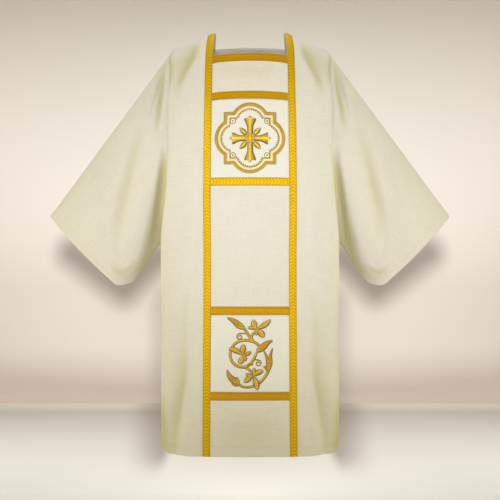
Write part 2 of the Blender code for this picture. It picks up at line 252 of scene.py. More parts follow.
def add_lamp(lamp, sign=1):
    kind, shape = lamp.shape
    light = bpy.data.lights.new(lamp.name, kind)
    light.energy = lamp.power
    light.color = lamp.colour
    for setting, value in shape.items():
        setattr(light, setting, value)
    place, aim = (Vector((sign * x, y, z)) for x, y, z in (lamp.place, lamp.aim))
    stand = bpy.data.objects.new(lamp.name, light)
    stand.location = place
    stand.rotation_euler = (aim - place).to_track_quat("-Z", "Y").to_euler()
    scene.collection.objects.link(stand)


build_backdrop()
for sign in (-1, 1):
    for lamp in LAMP_PAIRS:
        add_lamp(lamp, sign)
for lamp in SINGLE_LAMPS:
    add_lamp(lamp)
world = bpy.data.worlds.new("studio_air")
world.use_nodes = True
air = world.node_tree.nodes["Background"].inputs
air["Color"].default_value = AIR_COLOUR
air["Strength"].default_value = AIR_STRENGTH
scene.world = world


# ------------------------------------------------------------------------------ front
# The front is one length of ivory linen-like cloth from the neck to the hem. It is sewn to the
# back along the shoulders and the sides and to a sleeve at each armhole, and its hem is turned
# up and stitched through. It hangs in flutes at the sides and drags a little at the shoulders.
LENGTH = 1.255
UNDERARM = -0.636
SHOULDER_ZONE = -0.35
NECK_FRONT = -0.0745
GALLOON = 0.023
GALLOON_INNER = 5
GALLOON_OUTER = 7
SIDE_SEAM = 14
CLOTH_WALL = 0.0012
SEAM_DEPTH = 0.0011
STITCH_DEPTH = 0.0009
HEM = 0.027
HEM_STEP = 0.0006
HEM_RISE = 0.027
HOLLOW = (0.001, 0.0165)
FRONT, BACK = "front", "back"

Shoulder = namedtuple("Shoulder", "across height")
SHOULDER_LINE = (
    Shoulder(0.09, 0.003),
    Shoulder(0.112, 0.0),
    Shoulder(0.134, -0.011),
    Shoulder(0.158, -0.022),
    Shoulder(0.2, -0.0415),
    Shoulder(0.232, -0.05),
    Shoulder(0.243, -0.066),
)
Side = namedtuple("Side", "height half_width tuck")
SIDE_LINE = (
    Side(-0.066, 0.243, 0.0),
    Side(-0.121, 0.239, 0.0),
    Side(-0.223, 0.243, 0.0),
    Side(-0.33, 0.247, 0.004),
    Side(-0.43, 0.256, 0.012),
    Side(-0.56, 0.273, 0.026),
    Side(-0.64, 0.28, 0.03),
    Side(-0.78, 0.278, 0.02),
    Side(-0.98, 0.2715, 0.006),
    Side(-1.255, 0.2685, 0.0),
)
TUCK_START = 0.72
HEM_RISE_TURN = 0.62
HEM_RISE_BELOW = 0.8
Hang = namedtuple("Hang", "height front back squareness")
HANG = (
    Hang(0.0, 0.128, 0.112, 2.3),
    Hang(-0.3, 0.129, 0.118, 2.4),
    Hang(-0.64, 0.137, 0.126, 2.8),
    Hang(-0.95, 0.147, 0.14, 2.9),
    Hang(-1.255, 0.155, 0.15, 2.8),
)
ROUND_OVER = {FRONT: 0.3, BACK: 0.16}
GalloonLine = namedtuple("GalloonLine", "height across")
GALLOON_LINE = (
    GalloonLine(0.0, 0.115),
    GalloonLine(-0.04, 0.12),
    GalloonLine(-0.19, 0.1225),
    GalloonLine(-0.48, 0.126),
    GalloonLine(-0.7, 0.1245),
    GalloonLine(-1.255, 0.127),
)
ARMHOLE_REACH = {FRONT: 0.185, BACK: 0.1665}
ARMHOLE_TOP_POWER = 0.35
ARMHOLE_LOW_POWER = 0.6
ARCH = 0.0068
ARCH_HEIGHT = -0.1
ARCH_HALF = 0.11
FOLD_FREE = 0.06

# The large folds that the cloth is cut and hung with: a ridge stands out, a valley goes in.
Fold = namedtuple("Fold", "top low across_top across_low depth width")
FOLDS = {
    FRONT: (
        Fold(-0.022, -0.17, 0.162, 0.218, -0.005, 0.012),
        Fold(-0.86, -1.42, 0.166, 0.182, 0.0065, 0.018),
        Fold(-0.88, -1.42, 0.196, 0.236, -0.0085, 0.022),
        Fold(-0.52, -1.15, 0.166, 0.168, -0.003, 0.014),
    ),
    BACK: (
        Fold(-0.3, -1.42, 0.06, 0.075, -0.006, 0.03),
        Fold(-0.7, -1.42, 0.185, 0.18, 0.008, 0.024),
        Fold(-0.76, -1.42, 0.225, 0.222, -0.01, 0.022),
    ),
}

# Finer creases that come with wear, each along a bent line of places across and up. A ridge
# stands out and a valley goes in. One that leans is wider on one side of its line.
Crease = namedtuple("Crease", "depth width lean line")
CREASE_REACH = 3
CREASE_END = 0.7


def crease(depth, width, lean, *line):
    """A crease from measures in millimetres."""
    return Crease(depth / 1000, width / 1000, lean, [(x / 1000, z / 1000) for x, z in line])


CREASES = {
    FRONT: (
        crease(-3.2, 9, -0.2, (158, -26), (172, -86), (200, -140), (222, -200)),
        crease(2.2, 10, 0, (145, -34), (160, -92), (186, -145), (196, -200)),
        crease(-1.6, 8, 0.2, (147, -70), (150, -120), (157, -180)),
        crease(-1.8, 12, -0.2, (186, -168), (206, -205), (236, -262)),
        crease(-2, 10, 0.2, (150, -380), (155, -520), (159, -640), (166, -760)),
        crease(1.6, 11, 0, (170, -360), (176, -560), (179, -720)),
        crease(-2.6, 11, 0.3, (172, -660), (182, -760), (189, -840), (196, -940)),
        crease(-1.4, 16, -0.3, (214, -300), (222, -520), (218, -760)),
        crease(1.8, 14, 0, (236, -560), (246, -820), (252, -1080), (250, -1360)),
        crease(-3.8, 10, 0.4, (178, -920), (188, -1030), (199, -1095), (214, -1200), (228, -1420)),
        crease(-2, 13, 0, (-112, -780), (-56, -738), (0, -720), (56, -738), (112, -780)),
        crease(1.6, 15, 0, (-108, -820), (0, -764), (108, -820)),
        crease(-1.8, 6.5, 0, (112, -1100), (82, -1119), (30, -1136), (-30, -1136)),
        crease(-1.2, 9, 0, (110, -1142), (60, -1166), (-60, -1166)),
        crease(-1.2, 8, 0, (-85, -100), (0, -127), (85, -100)),
        crease(-0.8, 12, 0, (-90, -480), (0, -512), (90, -480)),
    ),
    BACK: (
        crease(-4, 10, -0.2, (148, -20), (172, -90), (196, -170), (204, -300)),
        crease(2.2, 12, 0, (130, -34), (152, -120), (170, -220), (176, -340)),
        crease(-2.2, 16, 0.2, (60, -60), (104, -150), (150, -280), (176, -460)),
        crease(-2, 15, 0.3, (150, -420), (160, -680), (172, -980)),
        crease(2.4, 18, 0, (112, -480), (106, -860), (100, -1400)),
        crease(-3, 15, -0.3, (30, -560), (26, -900), (30, -1420)),
        crease(-3.6, 12, 0.4, (176, -860), (190, -1020), (206, -1200), (214, -1420)),
        crease(2, 14, 0, (234, -560), (246, -860), (250, -1360)),
        crease(-1.4, 10, 0, (-100, -66), (0, -104), (100, -66)),
        crease(-1.4, 12, 0, (-110, -128), (0, -168), (110, -128)),
    ),
}


# Lines of painted shade between the flutes, at the shoulders, below the neck and above the hem, with
# more shade than the cloth's own form has: they paint the cloth darker and yellower and don't move it.
FLANK_SHADE = {
    FRONT: (
        crease(-9, 17.5, 0.2, (148, -20), (164, -80), (196, -150), (222, -210)),
        crease(-8, 8, 0, (242, -45), (237, -110), (236, -190)),
        crease(-7.2, 30, 0, (150, -40), (190, -75), (222, -110), (240, -170)),
        crease(
            -8.8, 26, 0.62, (184, -760), (190, -950), (196, -1035), (207, -1096), (221, -1189), (240, -1460),
        ),
        crease(-5.2, 22, 0, (260, -860), (264, -1100), (262, -1400)),
        crease(-10.5, 20, 0, (270, -1080), (265, -1210), (250, -1380)),
        crease(-6.2, 75, 0, (-160, -1190), (160, -1190)),
        crease(-6, 42, 0, (-160, -130), (160, -130)),
    ),
    BACK: (
        crease(-6, 25, 0.4, (190, -700), (204, -960), (222, -1180), (232, -1460)),
    ),
}


def eased(table, column, at):
    """Read a column of a table at a place along its first column, as a smooth curve."""
    keys = [row[0] for row in table]
    values = [getattr(row, column) for row in table]
    if keys[0] > keys[-1]:
        keys.reverse()
        values.reverse()
    at = min(max(at, keys[0]), keys[-1])
    cell = max(k for k in range(len(keys) - 1) if keys[k] <= at)

    def slope(k):
        low, high = max(k - 1, 0), min(k + 1, len(keys) - 1)
        return (values[high] - values[low]) / (keys[high] - keys[low])

    span = keys[cell + 1] - keys[cell]
    t = (at - keys[cell]) / span
    start = values[cell] * (1 + 2 * t) * (1 - t) ** 2
    end = values[cell + 1] * t * t * (3 - 2 * t)
    lean = slope(cell) * t * (1 - t) ** 2 - slope(cell + 1) * t * t * (1 - t)
    return start + end + lean * span


def ramp(value, start, end):
    """0 before start, 1 after end, and an even slope without corners between them."""
    t = min(max((value - start) / (end - start), 0.0), 1.0)
    return t * t * (3 - 2 * t)


def bell(away, width):
    """1 in the middle of a fold or a groove, and next to nothing a few widths away."""
    return exp(-((away / width) ** 2))


def side_height(height):
    """A row's height where it meets the armhole or the side seam."""
    top = SIDE_LINE[0].height
    return height if height < SHOULDER_ZONE else top + height * (1 - top / SHOULDER_ZONE)


def fold_at(folds, across, height):
    """Sum of the folds at a place, outwards positive."""
    total = 0.0
    for fold in folds:
        along = (fold.top - height) / (fold.top - fold.low)
        if 0.0 < along < 1.0:
            middle = fold.across_top + (fold.across_low - fold.across_top) * along
            total += fold.depth * sin(pi * along) * bell(across - middle, fold.width)
    return total


def crease_at(creases, across, height):
    """Sum of the creases at a place, each by the distance to its bent line."""
    total = 0.0
    for bent in creases:
        legs = len(bent.line) - 1
        nearest, away, along = CREASE_REACH * bent.width, 0.0, 0.0
        for k in range(legs):
            (x, z), (next_x, next_z) = bent.line[k], bent.line[k + 1]
            run, fall = next_x - x, next_z - z
            share = ((across - x) * run + (height - z) * fall) / (run * run + fall * fall)
            share = min(max(share, 0.0), 1.0)
            gap_x, gap_z = across - x - run * share, height - z - fall * share
            gap = hypot(gap_x, gap_z)
            if gap < nearest:
                nearest, along = gap, (k + share) / legs
                away = gap_z * run - gap_x * fall
        if along:
            width = bent.width * (1.0 + (bent.lean if away > 0 else -bent.lean))
            total += bent.depth * sin(pi * along) ** CREASE_END * bell(nearest, width)
    return total


def turn_at(fraction, power):
    """The turn to the side that brings a point to a fraction of the half width."""
    return 1.0 - acos(min(fraction, 1.0) ** (1.0 / power)) / (pi / 2)


def body_point(side, height, across=None, turn=None):
    """A place on the smooth cloth, by its distance across or by its turn to the side."""
    edge_height = side_height(height)
    half_width = eased(SIDE_LINE, "half_width", edge_height)
    q = min(max((SIDE_LINE[0].height - edge_height) / (SIDE_LINE[0].height - UNDERARM), 0.0), 1.0)
    edge_depth = ARMHOLE_REACH[side] * q ** ARMHOLE_TOP_POWER * (1 - q) ** ARMHOLE_LOW_POWER
    power = 2.0 / eased(HANG, "squareness", height)
    depth = eased(HANG, side, height)
    if height > -ROUND_OVER[side]:
        depth *= (1.0 - (1.0 + height / ROUND_OVER[side]) ** 2) ** 0.5
    if turn is None:
        turn = turn_at(abs(across) / half_width, power)
        sign = -1.0 if across < 0 else 1.0
    else:
        sign = -1.0 if turn < 0 else 1.0
        turn = abs(turn)
    angle = turn * pi / 2
    x = half_width * sin(angle) ** power
    x -= eased(SIDE_LINE, "tuck", edge_height) * ramp(turn, TUCK_START, 1.0)
    y = edge_depth + (depth - edge_depth) * max(cos(angle), 0.0) ** power
    shoulder = eased(SHOULDER_LINE, "height", x)
    z = height
    if height > SHOULDER_ZONE:
        z = shoulder + height * (1 - shoulder / SHOULDER_ZONE)
    bow = height / ARCH_HEIGHT
    z -= ARCH * bow * exp(1 - bow) * (min(x / ARCH_HALF, 1.0) ** 2)
    z += HEM_RISE * ramp(turn, HEM_RISE_TURN, 1.0) * ramp(-height, HEM_RISE_BELOW, LENGTH)
    y += fold_at(FOLDS[side], x, z) * ramp(y, 0.0, FOLD_FREE)
    return Vector((sign * x, y if side == BACK else -y, z))


def cloth_point(side, column, height):
    """A place on the smooth cloth, by the stations that count from the middle to the side."""
    middle = eased(GALLOON_LINE, "across", height)
    inner, outer = middle - GALLOON / 2, middle + GALLOON / 2
    sign = -1.0 if column < 0 else 1.0
    station = abs(column)
    if station <= GALLOON_INNER:
        return body_point(side, height, across=inner * column / GALLOON_INNER)
    if station <= GALLOON_OUTER:
        share = (station - GALLOON_INNER) / (GALLOON_OUTER - GALLOON_INNER)
        return body_point(side, height, across=sign * (inner + (outer - inner) * share))
    half_width = eased(SIDE_LINE, "half_width", side_height(height))
    start = turn_at(outer / half_width, 2.0 / eased(HANG, "squareness", height))
    share = (station - GALLOON_OUTER) / (SIDE_SEAM - GALLOON_OUTER)
    return body_point(side, height, turn=sign * (start + (1.0 - start) * share))


def stations(stops, step):
    """Places from the first stop to the last, at most a step apart, with all stops among them."""
    places = [stops[0]]
    for start, end in zip(stops, stops[1:]):
        cells = max(1, round(abs(end - start) / step))
        places += [start + (end - start) * k / cells for k in range(1, cells + 1)]
    return places


def add_grid(mesh, wide, high):
    """A grid of cells in the mesh, with the column and the row of each of its points."""
    made = bmesh.ops.create_grid(mesh, x_segments=wide, y_segments=high, size=0.5)["verts"]
    return {vert: (round((vert.co.x + 0.5) * wide), round((vert.co.y + 0.5) * high)) for vert in made}


def lay_flat(mesh, flat):
    """Give each point its place on the flat piece, as a UV map in metres."""
    uv_map = mesh.loops.layers.uv.verify()
    for vert, place in flat.items():
        for loop in vert.link_loops:
            loop[uv_map].uv = place


def lay_out(columns, rows, place):
    """A grid with each crossing in its place, and a UV map in metres of cloth."""
    mesh = bmesh.new()
    mesh.verts.layers.float.new("hollow")
    wide, high = len(columns) - 1, len(rows) - 1
    spots = add_grid(mesh, wide, high)
    at = {}
    for vert, (i, j) in spots.items():
        vert.co = place(columns[i], rows[j])
        at[i, j] = vert.co
    middle = wide // 2
    u = {(middle, j): 0.0 for j in range(high + 1)}
    v = {(i, 0): 0.0 for i in range(wide + 1)}
    for j in range(high + 1):
        for i in range(middle + 1, wide + 1):
            u[i, j] = u[i - 1, j] + (at[i, j] - at[i - 1, j]).length
        for i in range(middle - 1, -1, -1):
            u[i, j] = u[i + 1, j] - (at[i, j] - at[i + 1, j]).length
        for i in range(wide + 1):
            if j:
                v[i, j] = v[i, j - 1] + (at[i, j] - at[i, j - 1]).length
    lay_flat(mesh, {vert: (u[spot], v[spot]) for vert, spot in spots.items()})
    return mesh, {vert: (columns[i], rows[j]) for vert, (i, j) in spots.items()}


def push_out(mesh, spots, distance, fold=lambda place: 0.0):
    """Move each point outwards by a distance, and note in "hollow" how deep in a fold it lies.

    The note is painted shade: the cloth is painted darker and yellower where it is high. fold(place) deepens
    that painted shade without moving the point.
    """
    mesh.normal_update()
    hollow = mesh.verts.layers.float["hollow"]
    moves = {vert: distance(vert.co, *spots[vert]) for vert in mesh.verts}
    for vert, move in moves.items():
        vert[hollow] = ramp(-move - fold(vert.co), *HOLLOW)
        vert.co += vert.normal * move


def unevenness(place, depth):
    """Slow waves of this depth in the cloth, with small ones over them."""
    return noise.noise(place * 9.0) * depth + noise.noise(place * 31.0) * 0.00025


def wandering(place):
    """The distance across, a little off, so that no crease runs quite straight."""
    return abs(place.x) + noise.noise(place * 4.0) * 0.004


def rumple(side, place):
    """How far wear has creased the cloth at a place. The braid on the cloth follows it."""
    return crease_at(CREASES[side], wandering(place), place.z) + unevenness(place, 0.0008)


def cloth_relief(side, place, column, height):
    """Creases of the cloth, which die out at its seams, and its turned and stitched hem."""
    to_seam = SIDE_SEAM - abs(column)
    up = height + LENGTH
    relief = rumple(side, place) * (ramp(to_seam, 0.0, 0.9) * ramp(-height, 0.0, 0.012))
    relief -= SEAM_DEPTH * bell(to_seam, 0.1)
    relief += HEM_STEP * (1.0 - ramp(up, HEM - 0.002, HEM))
    relief -= STITCH_DEPTH * bell(up - HEM, 0.0016)
    return relief


def add_piece(name, mesh, material, slot, *nodes, wall=0.0):
    """Finish a piece: thickness, finish, and the solids that it stands for."""
    data = bpy.data.meshes.new(name)
    mesh.to_mesh(data)
    mesh.free()
    data.shade_smooth()
    data.set_sharp_from_angle(angle=radians(50))
    data.materials.append(material)
    piece = bpy.data.objects.new(name, data)
    scene.collection.objects.link(piece)
    if wall:
        solid = piece.modifiers.new("wall", "SOLIDIFY")
        solid.thickness = wall
        solid.offset = -1.0
    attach(piece, "root")
    if nodes:
        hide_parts(*nodes)
    return piece


def streaks(surface, often, detail, roughness=0.5):
    """Uneven streaks, by how often they change across and along a metre."""
    scaled = surface.node("ShaderNodeMapping", sockets={"Vector": surface, "Scale": often})
    return scaled.node(
        "ShaderNodeTexNoise", {"noise_dimensions": "2D"},
        {"Vector": scaled, "Scale": 1.0, "Detail": detail, "Roughness": roughness},
    )


def bump(shader, height, depth, strength):
    """Fine relief that is too small to be in the mesh."""
    sockets = {"Height": height, "Distance": depth, "Strength": strength}
    height.feed(shader.inputs["Normal"], height.node("ShaderNodeBump", sockets=sockets))


YARN = 0.0011


def woven_cloth(name, colour, shadow, painted_fold_shade, slub, warmth):
    """Plain weave with uneven weft yarns, a soft nap and slight clouding, and painted shade, darker and
    yellower, in its folds.
    """
    material, shader, wire = new_material(
        name, Specular_IOR_Level=0.18, Sheen_Weight=0.12, Sheen_Roughness=0.45,
    )
    cloth = wire.node("ShaderNodeTexCoord", output="UV")
    yarn = 2 * pi / YARN
    weave = wire.maths("SINE", axis(cloth, "X") * yarn) * wire.maths("SINE", axis(cloth, "Y") * yarn)
    weft = streaks(cloth, (20.0, 400.0, 1.0), 3.0, 0.6)
    warp = streaks(cloth, (360.0, 24.0, 1.0), 3.0, 0.6)
    cloud = streaks(cloth, (7.0, 7.0, 1.0), 3.0, 0.6)
    slubs = mask(weft, 0.55, 0.78)
    tone = (weft - 0.5) * slub + (warp - 0.5) * (slub * 0.7) + (cloud - 0.5) * warmth + 0.5
    # Painted shade: where "hollow" is high, the cloth is painted darker and yellower.
    hollow = wire.node("ShaderNodeAttribute", {"attribute_name": "hollow"}, output="Fac")
    colour = tint(wire, tone, shadow, colour)
    wire.feed(shader.inputs["Base Color"], tint(wire, hollow, colour, painted_fold_shade))
    wire.feed(shader.inputs["Roughness"], 0.86 - slubs * 0.1)
    bump(shader, weave * 0.35 + weft * 0.8 + warp * 0.5 + slubs * 0.5, 0.00035, 0.55)
    return material


# The last colour is the painted shade in the cloth's folds.
ivory = woven_cloth(
    "ivory_cloth", (0.85, 0.8, 0.755), (0.74, 0.685, 0.61), (0.6, 0.555, 0.33), 1.05, 0.4
)

SHOULDER_ROWS = (0.0, -0.0004, -0.0016, -0.0036, -0.0064, -0.01, -0.0145, -0.02)
HEM_ROWS = (HEM + 0.004, HEM + 0.002, HEM, HEM - 0.002, 0.003, 0.001, 0.0)
SEAM_COLUMNS = (13.6, 13.8, 13.9, 13.96, SIDE_SEAM)
ROW = 0.0065


def half_columns():
    stops = (0.0, GALLOON_INNER, GALLOON_OUTER, SEAM_COLUMNS[0])
    outwards = [0.0]
    for start, end, step in zip(stops, stops[1:], (0.2, 0.25, 0.2)):
        outwards += stations((start, end), step)[1:]
    return outwards + list(SEAM_COLUMNS[1:])


def body_half(side, neck_height):
    """The front or the back, with its neck cut out between the galloons."""
    outwards = half_columns()
    columns = [-column for column in reversed(outwards[1:])] + outwards
    stops = [height - LENGTH for height in reversed(HEM_ROWS)]
    rows = stops + stations((stops[-1], neck_height, SHOULDER_ROWS[-1]), ROW)[1:]
    rows += list(reversed(SHOULDER_ROWS[:-1]))
    mesh, spots = lay_out(columns, rows, lambda column, height: cloth_point(side, column, height))
    if side == BACK:
        bmesh.ops.reverse_faces(mesh, faces=mesh.faces[:])
    # Painted shade: the valleys of the creases and the lines of FLANK_SHADE paint the cloth darker and
    # yellower.
    push_out(
        mesh, spots, lambda place, column, height: cloth_relief(side, place, column, height),
        lambda place: crease_at(FLANK_SHADE[side], abs(place.x), place.z),
    )

    def in_neck(vert):
        column, height = spots[vert]
        return abs(column) < GALLOON_INNER + 0.01 and height > neck_height - 0.0001

    opening = [face for face in mesh.faces if all(in_neck(vert) for vert in face.verts)]
    bmesh.ops.delete(mesh, geom=opening, context="FACES")
    return mesh


front_mesh = body_half(FRONT, NECK_FRONT)
front = add_piece("front_cloth", front_mesh, ivory, "ivory_cloth", "front", wall=CLOTH_WALL)


# ------------------------------------------------------------------------------ back
# The back is cut like the front but higher at the neck, from the same cloth, and hangs from the
# shoulders in a few shallow folds of its own.
NECK_BACK = -0.032
back_mesh = body_half(BACK, NECK_BACK)
back = add_piece("back_cloth", back_mesh, ivory, "ivory_cloth", "back", wall=CLOTH_WALL)


# ------------------------------------------------------------------------------ sleeves
# Each sleeve is one wide piece that is folded over the arm, closed with a seam underneath and
# set into the armhole. Its edge is turned in and stitched by hand.
CUFF_TOP = Vector((0.604, 0.0, -0.552))
CUFF_LOW = Vector((0.379, 0.0, -0.781))
CUFF_BOW = 0.005
CUFF_HALF_DEPTH = 0.06
CUFF_CORNER = 0.036
CUFF_CORNER_START = 0.88
CUFF_FLATNESS = 0.42
CUFF_HEM = 0.045
CUFF_STEP = 0.0005
CUFF_STITCH_DEPTH = 0.0007
CROTCH_LIFT = 0.024
CROTCH_START = 0.74
CROTCH_FADE = 3

# Like the folds of the front and the back, but measured along the sleeve and around it.
SLEEVE_FOLDS = (
    Fold(0.04, 0.2, 0.02, 0.26, -0.006, 0.035),
    Fold(0.36, 0.8, 0.38, 0.7, -0.006, 0.08),
)
SLEEVE_CREASES = {
    FRONT: (
        crease(-7.8, 9.5, 0, (256, -86), (261, -150), (266, -205), (273, -262), (282, -325)),
        crease(2.6, 7, 0, (246, -100), (249, -180), (256, -260)),
        crease(2, 14, 0, (290, -150), (302, -240), (306, -330)),
        crease(-4, 10, 0, (256, -330), (258, -430), (268, -530), (278, -620), (300, -720)),
        crease(-5.8, 15, 0, (258, -400), (266, -500), (276, -590), (302, -740)),
        crease(2.2, 12, -0.4, (270, -360), (280, -460), (292, -570), (312, -680)),
        crease(-8.4, 22, 0.2, (318, -270), (344, -352), (362, -440), (384, -540), (390, -660)),
        crease(3.6, 26, 0, (296, -330), (310, -440), (322, -550), (340, -680)),
        crease(2.2, 30, 0, (366, -360), (440, -520), (500, -620)),
        crease(-2.6, 18, -0.3, (412, -400), (462, -510), (480, -620)),
        crease(-4.8, 6.4, 0.2, (424, -690), (404, -712), (380, -722), (350, -708)),
        crease(3.4, 7, 0, (424, -664), (396, -692), (368, -704), (346, -690)),
        crease(-3.4, 8.5, 0, (412, -630), (384, -668), (350, -672)),
    ),
    BACK: (
        crease(-7, 11, 0, (254, -100), (264, -200), (284, -310)),
        crease(2.2, 12, 0, (288, -150), (304, -260), (322, -380)),
        crease(-11, 13, 0, (254, -340), (264, -440), (278, -560), (298, -670)),
        crease(-3.6, 24, -0.2, (330, -260), (380, -400), (410, -540), (410, -680)),
        crease(2.6, 22, 0, (300, -340), (330, -480), (346, -640)),
        crease(2.4, 26, 0, (400, -360), (460, -480), (520, -590)),
        crease(-2.8, 8, 0, (430, -672), (400, -704), (356, -692)),
    ),
}


# Lines of painted shade along the armhole and in the hollow under the arm: they paint the cloth
# darker and yellower and don't move it.
UNDERARM_SHADE = (
    crease(-9, 15, 0, (248, -350), (258, -480), (268, -580), (290, -700)),
    crease(-9, 13, 0, (262, -610), (290, -665), (316, -712), (352, -762)),
    crease(-14.5, 23, 0, (250, -350), (265, -460), (294, -590), (319, -700), (337, -752)),
    crease(-6, 30, 0, (250, -60), (270, -180), (300, -330)),
    crease(-7, 20, 0, (335, -690), (372, -735), (425, -715)),
)


def sleeve_drop(height):
    """0 at the sleeve's upper fold and 1 at its seam underneath."""
    top = SIDE_LINE[0].height
    return min(max((top - side_height(height)) / (top - UNDERARM), 0.0), 1.0)


def sleeve_point(sign, side, height, along):
    start = body_point(side, height, turn=1.0)
    q = sleeve_drop(height)
    end = CUFF_TOP.lerp(CUFF_LOW, q)
    arm_line = (CUFF_TOP - Vector((SIDE_LINE[0].half_width, 0.0, SIDE_LINE[0].height))).normalized()
    turned = max(q - CUFF_CORNER_START, 0.0) / (1.0 - CUFF_CORNER_START)
    end += arm_line * (CUFF_BOW * sin(pi * q) - CUFF_CORNER * turned ** 2)
    facing = -1.0 if side == FRONT else 1.0
    end.y = facing * CUFF_HALF_DEPTH * (4 * q * (1 - q)) ** CUFF_FLATNESS
    place = start.lerp(end, along)
    peak = CROTCH_FADE ** CROTCH_FADE / (CROTCH_FADE + 1) ** (CROTCH_FADE + 1)
    lift = along * (1 - along) ** CROTCH_FADE / peak
    place.z += CROTCH_LIFT * lift * ramp(q, CROTCH_START, 1.0)
    place.y += facing * fold_at(SLEEVE_FOLDS, q, along)
    place.x *= sign
    return place


def sleeve_relief(place, along, around):
    """Creases that die out at the armhole, the turned cuff and its line of stitches."""
    q = sleeve_drop(-abs(around))
    side = FRONT if around <= 0.0 else BACK
    relief = crease_at(SLEEVE_CREASES[side], wandering(place), place.z) + unevenness(place, 0.0009)
    relief *= ramp(along, 0.0, 0.022) * ramp(q, 0.0, 0.03) * ramp(1.0 - q, 0.0, 0.04)
    relief -= SEAM_DEPTH * bell(along, 0.006)
    relief += CUFF_STEP * ramp(along, 1.0 - CUFF_HEM, 1.0 - CUFF_HEM + 0.005)
    relief -= CUFF_STITCH_DEPTH * bell(along - 1.0 + CUFF_HEM, 0.004)
    return relief


def sleeve_tube(sign):
    """around runs from the seam underneath, up the front, over the arm and down the back."""
    rises = stations((UNDERARM, UNDERARM + 0.004, UNDERARM + 0.012, -0.02), 0.0075)
    rises += list(reversed(SHOULDER_ROWS[:-1]))
    rounds = rises + [-height for height in reversed(rises[:-1])]
    cuff = 1.0 - CUFF_HEM
    steps = [0.0, 0.003, 0.007, 0.013] + stations((0.022, 0.2), 0.0085)
    steps += stations((0.2, cuff - 0.006), 0.0155)[1:]
    steps += [cuff + step for step in (-0.003, 0.0, 0.003, 0.007)]
    steps += stations((cuff + 0.007, 0.992), 0.012)[1:] + [0.997, 1.0]

    def place(along, around):
        side = FRONT if around <= 0.0 else BACK
        return sleeve_point(sign, side, -abs(around), along)

    mesh, spots = lay_out(steps, rounds, place)
    if sign < 0:
        bmesh.ops.reverse_faces(mesh, faces=mesh.faces[:])
    # Painted shade: the valleys of the creases and the lines of UNDERARM_SHADE paint the sleeve darker and
    # yellower.
    push_out(mesh, spots, sleeve_relief, lambda place: crease_at(UNDERARM_SHADE, abs(place.x), place.z))
    bmesh.ops.remove_doubles(mesh, verts=mesh.verts[:], dist=0.00002)
    return mesh


for name, sign in (("left", -1), ("right", 1)):
    sleeve = add_piece(
        f"sleeve_cloth_{name}", sleeve_tube(sign), ivory, "ivory_cloth", f"sleeve_{name}", wall=CLOTH_WALL
    )


# ------------------------------------------------------------------------------ long galloons
# Two plaited gold galloons run from the front hem over the shoulders to the back hem, on both
# sides of the neck. Each is woven with a corded edge on either side of a flat plait.
GALLOON_LIFT = 0.0003
GALLOON_WALL = 0.0009
GALLOON_MIDDLE = (GALLOON_INNER + GALLOON_OUTER) / 2
GALLOON_EDGE = 0.04
BEND_START = -0.04
PLAIT = 0.0098
PLAIT_HEIGHT = 0.0005
PLAIT_LEAN = 0.85
EDGE_CORD = 0.79
CORD_HEIGHT = 0.0004
CORD_TWIST = 0.0016
SEAT_STEP = 0.02
SEAT_DROP = 0.002
Seat = namedtuple("Seat", "place outward")


def seat(side, column, height):
    """A place on the creased cloth, and the direction out of the cloth there."""
    here = cloth_point(side, column, height)
    step = -SEAT_STEP if column > 0 else SEAT_STEP
    level = (cloth_point(side, column + step, height) - here) / step
    facing = 1.0 if side == FRONT else -1.0
    rise = Vector((0.0, facing, 0.0))
    if height < -0.0003:
        rise = here - cloth_point(side, column, height - SEAT_DROP)
    outward = level.cross(rise).normalized() * facing
    return Seat(here + outward * cloth_relief(side, here, column, height), outward)


BRAID_SECTION = (-1.0, -0.96, -0.9, -0.84, -0.79, -0.66, -0.44, -0.22, 0.0)
BRAID_SECTION += tuple(-u for u in reversed(BRAID_SECTION[:-1]))


def braid_face(u, along, plait=PLAIT):
    """Height of the braid's face over its back: corded edges and the yarns of the plait."""
    edge = abs(u)
    height = GALLOON_WALL * ramp(1.0 - edge, 0.0, 0.06)
    if edge > EDGE_CORD:
        return height + CORD_HEIGHT * sin(pi * (edge - EDGE_CORD) / (1.0 - EDGE_CORD))
    crest = abs(sin(pi * (along / plait + PLAIT_LEAN * edge)))
    return height + PLAIT_HEIGHT * ramp(EDGE_CORD - edge, 0.0, 0.12) * crest ** 0.6


def close_up(mesh, gap):
    """Join points that lie together, fill the open ends, and turn all faces outwards."""
    bmesh.ops.remove_doubles(mesh, verts=mesh.verts[:], dist=gap)
    bmesh.ops.holes_fill(mesh, edges=[edge for edge in mesh.edges if edge.is_boundary])
    bmesh.ops.recalc_face_normals(mesh, faces=mesh.faces[:])


def weave_braid(seats_at, lengths, face):
    """A closed braid. Each row has three seats: at one edge, in the middle and at the other."""
    section = BRAID_SECTION + (1.0, -1.0, -1.0)
    wide = len(section) - 1
    mesh = bmesh.new()
    spots = add_grid(mesh, wide, len(seats_at) - 1)
    for vert, (i, j) in spots.items():
        u = section[i]
        first, middle, last = seats_at[j]
        shares = (u * (u - 1) / 2, 1 - u * u, u * (u + 1) / 2)
        place = first.place * shares[0] + middle.place * shares[1] + last.place * shares[2]
        outward = first.outward * shares[0] + middle.outward * shares[1] + last.outward * shares[2]
        on_face = i < len(BRAID_SECTION) or i == wide
        height = face(u, lengths[j]) if on_face else 0.0
        vert.co = place + outward.normalized() * (GALLOON_LIFT + height)
    lay_flat(mesh, {vert: (section[i] / 2 + 0.5, lengths[j]) for vert, (i, j) in spots.items()})
    close_up(mesh, 0.000005)
    return mesh


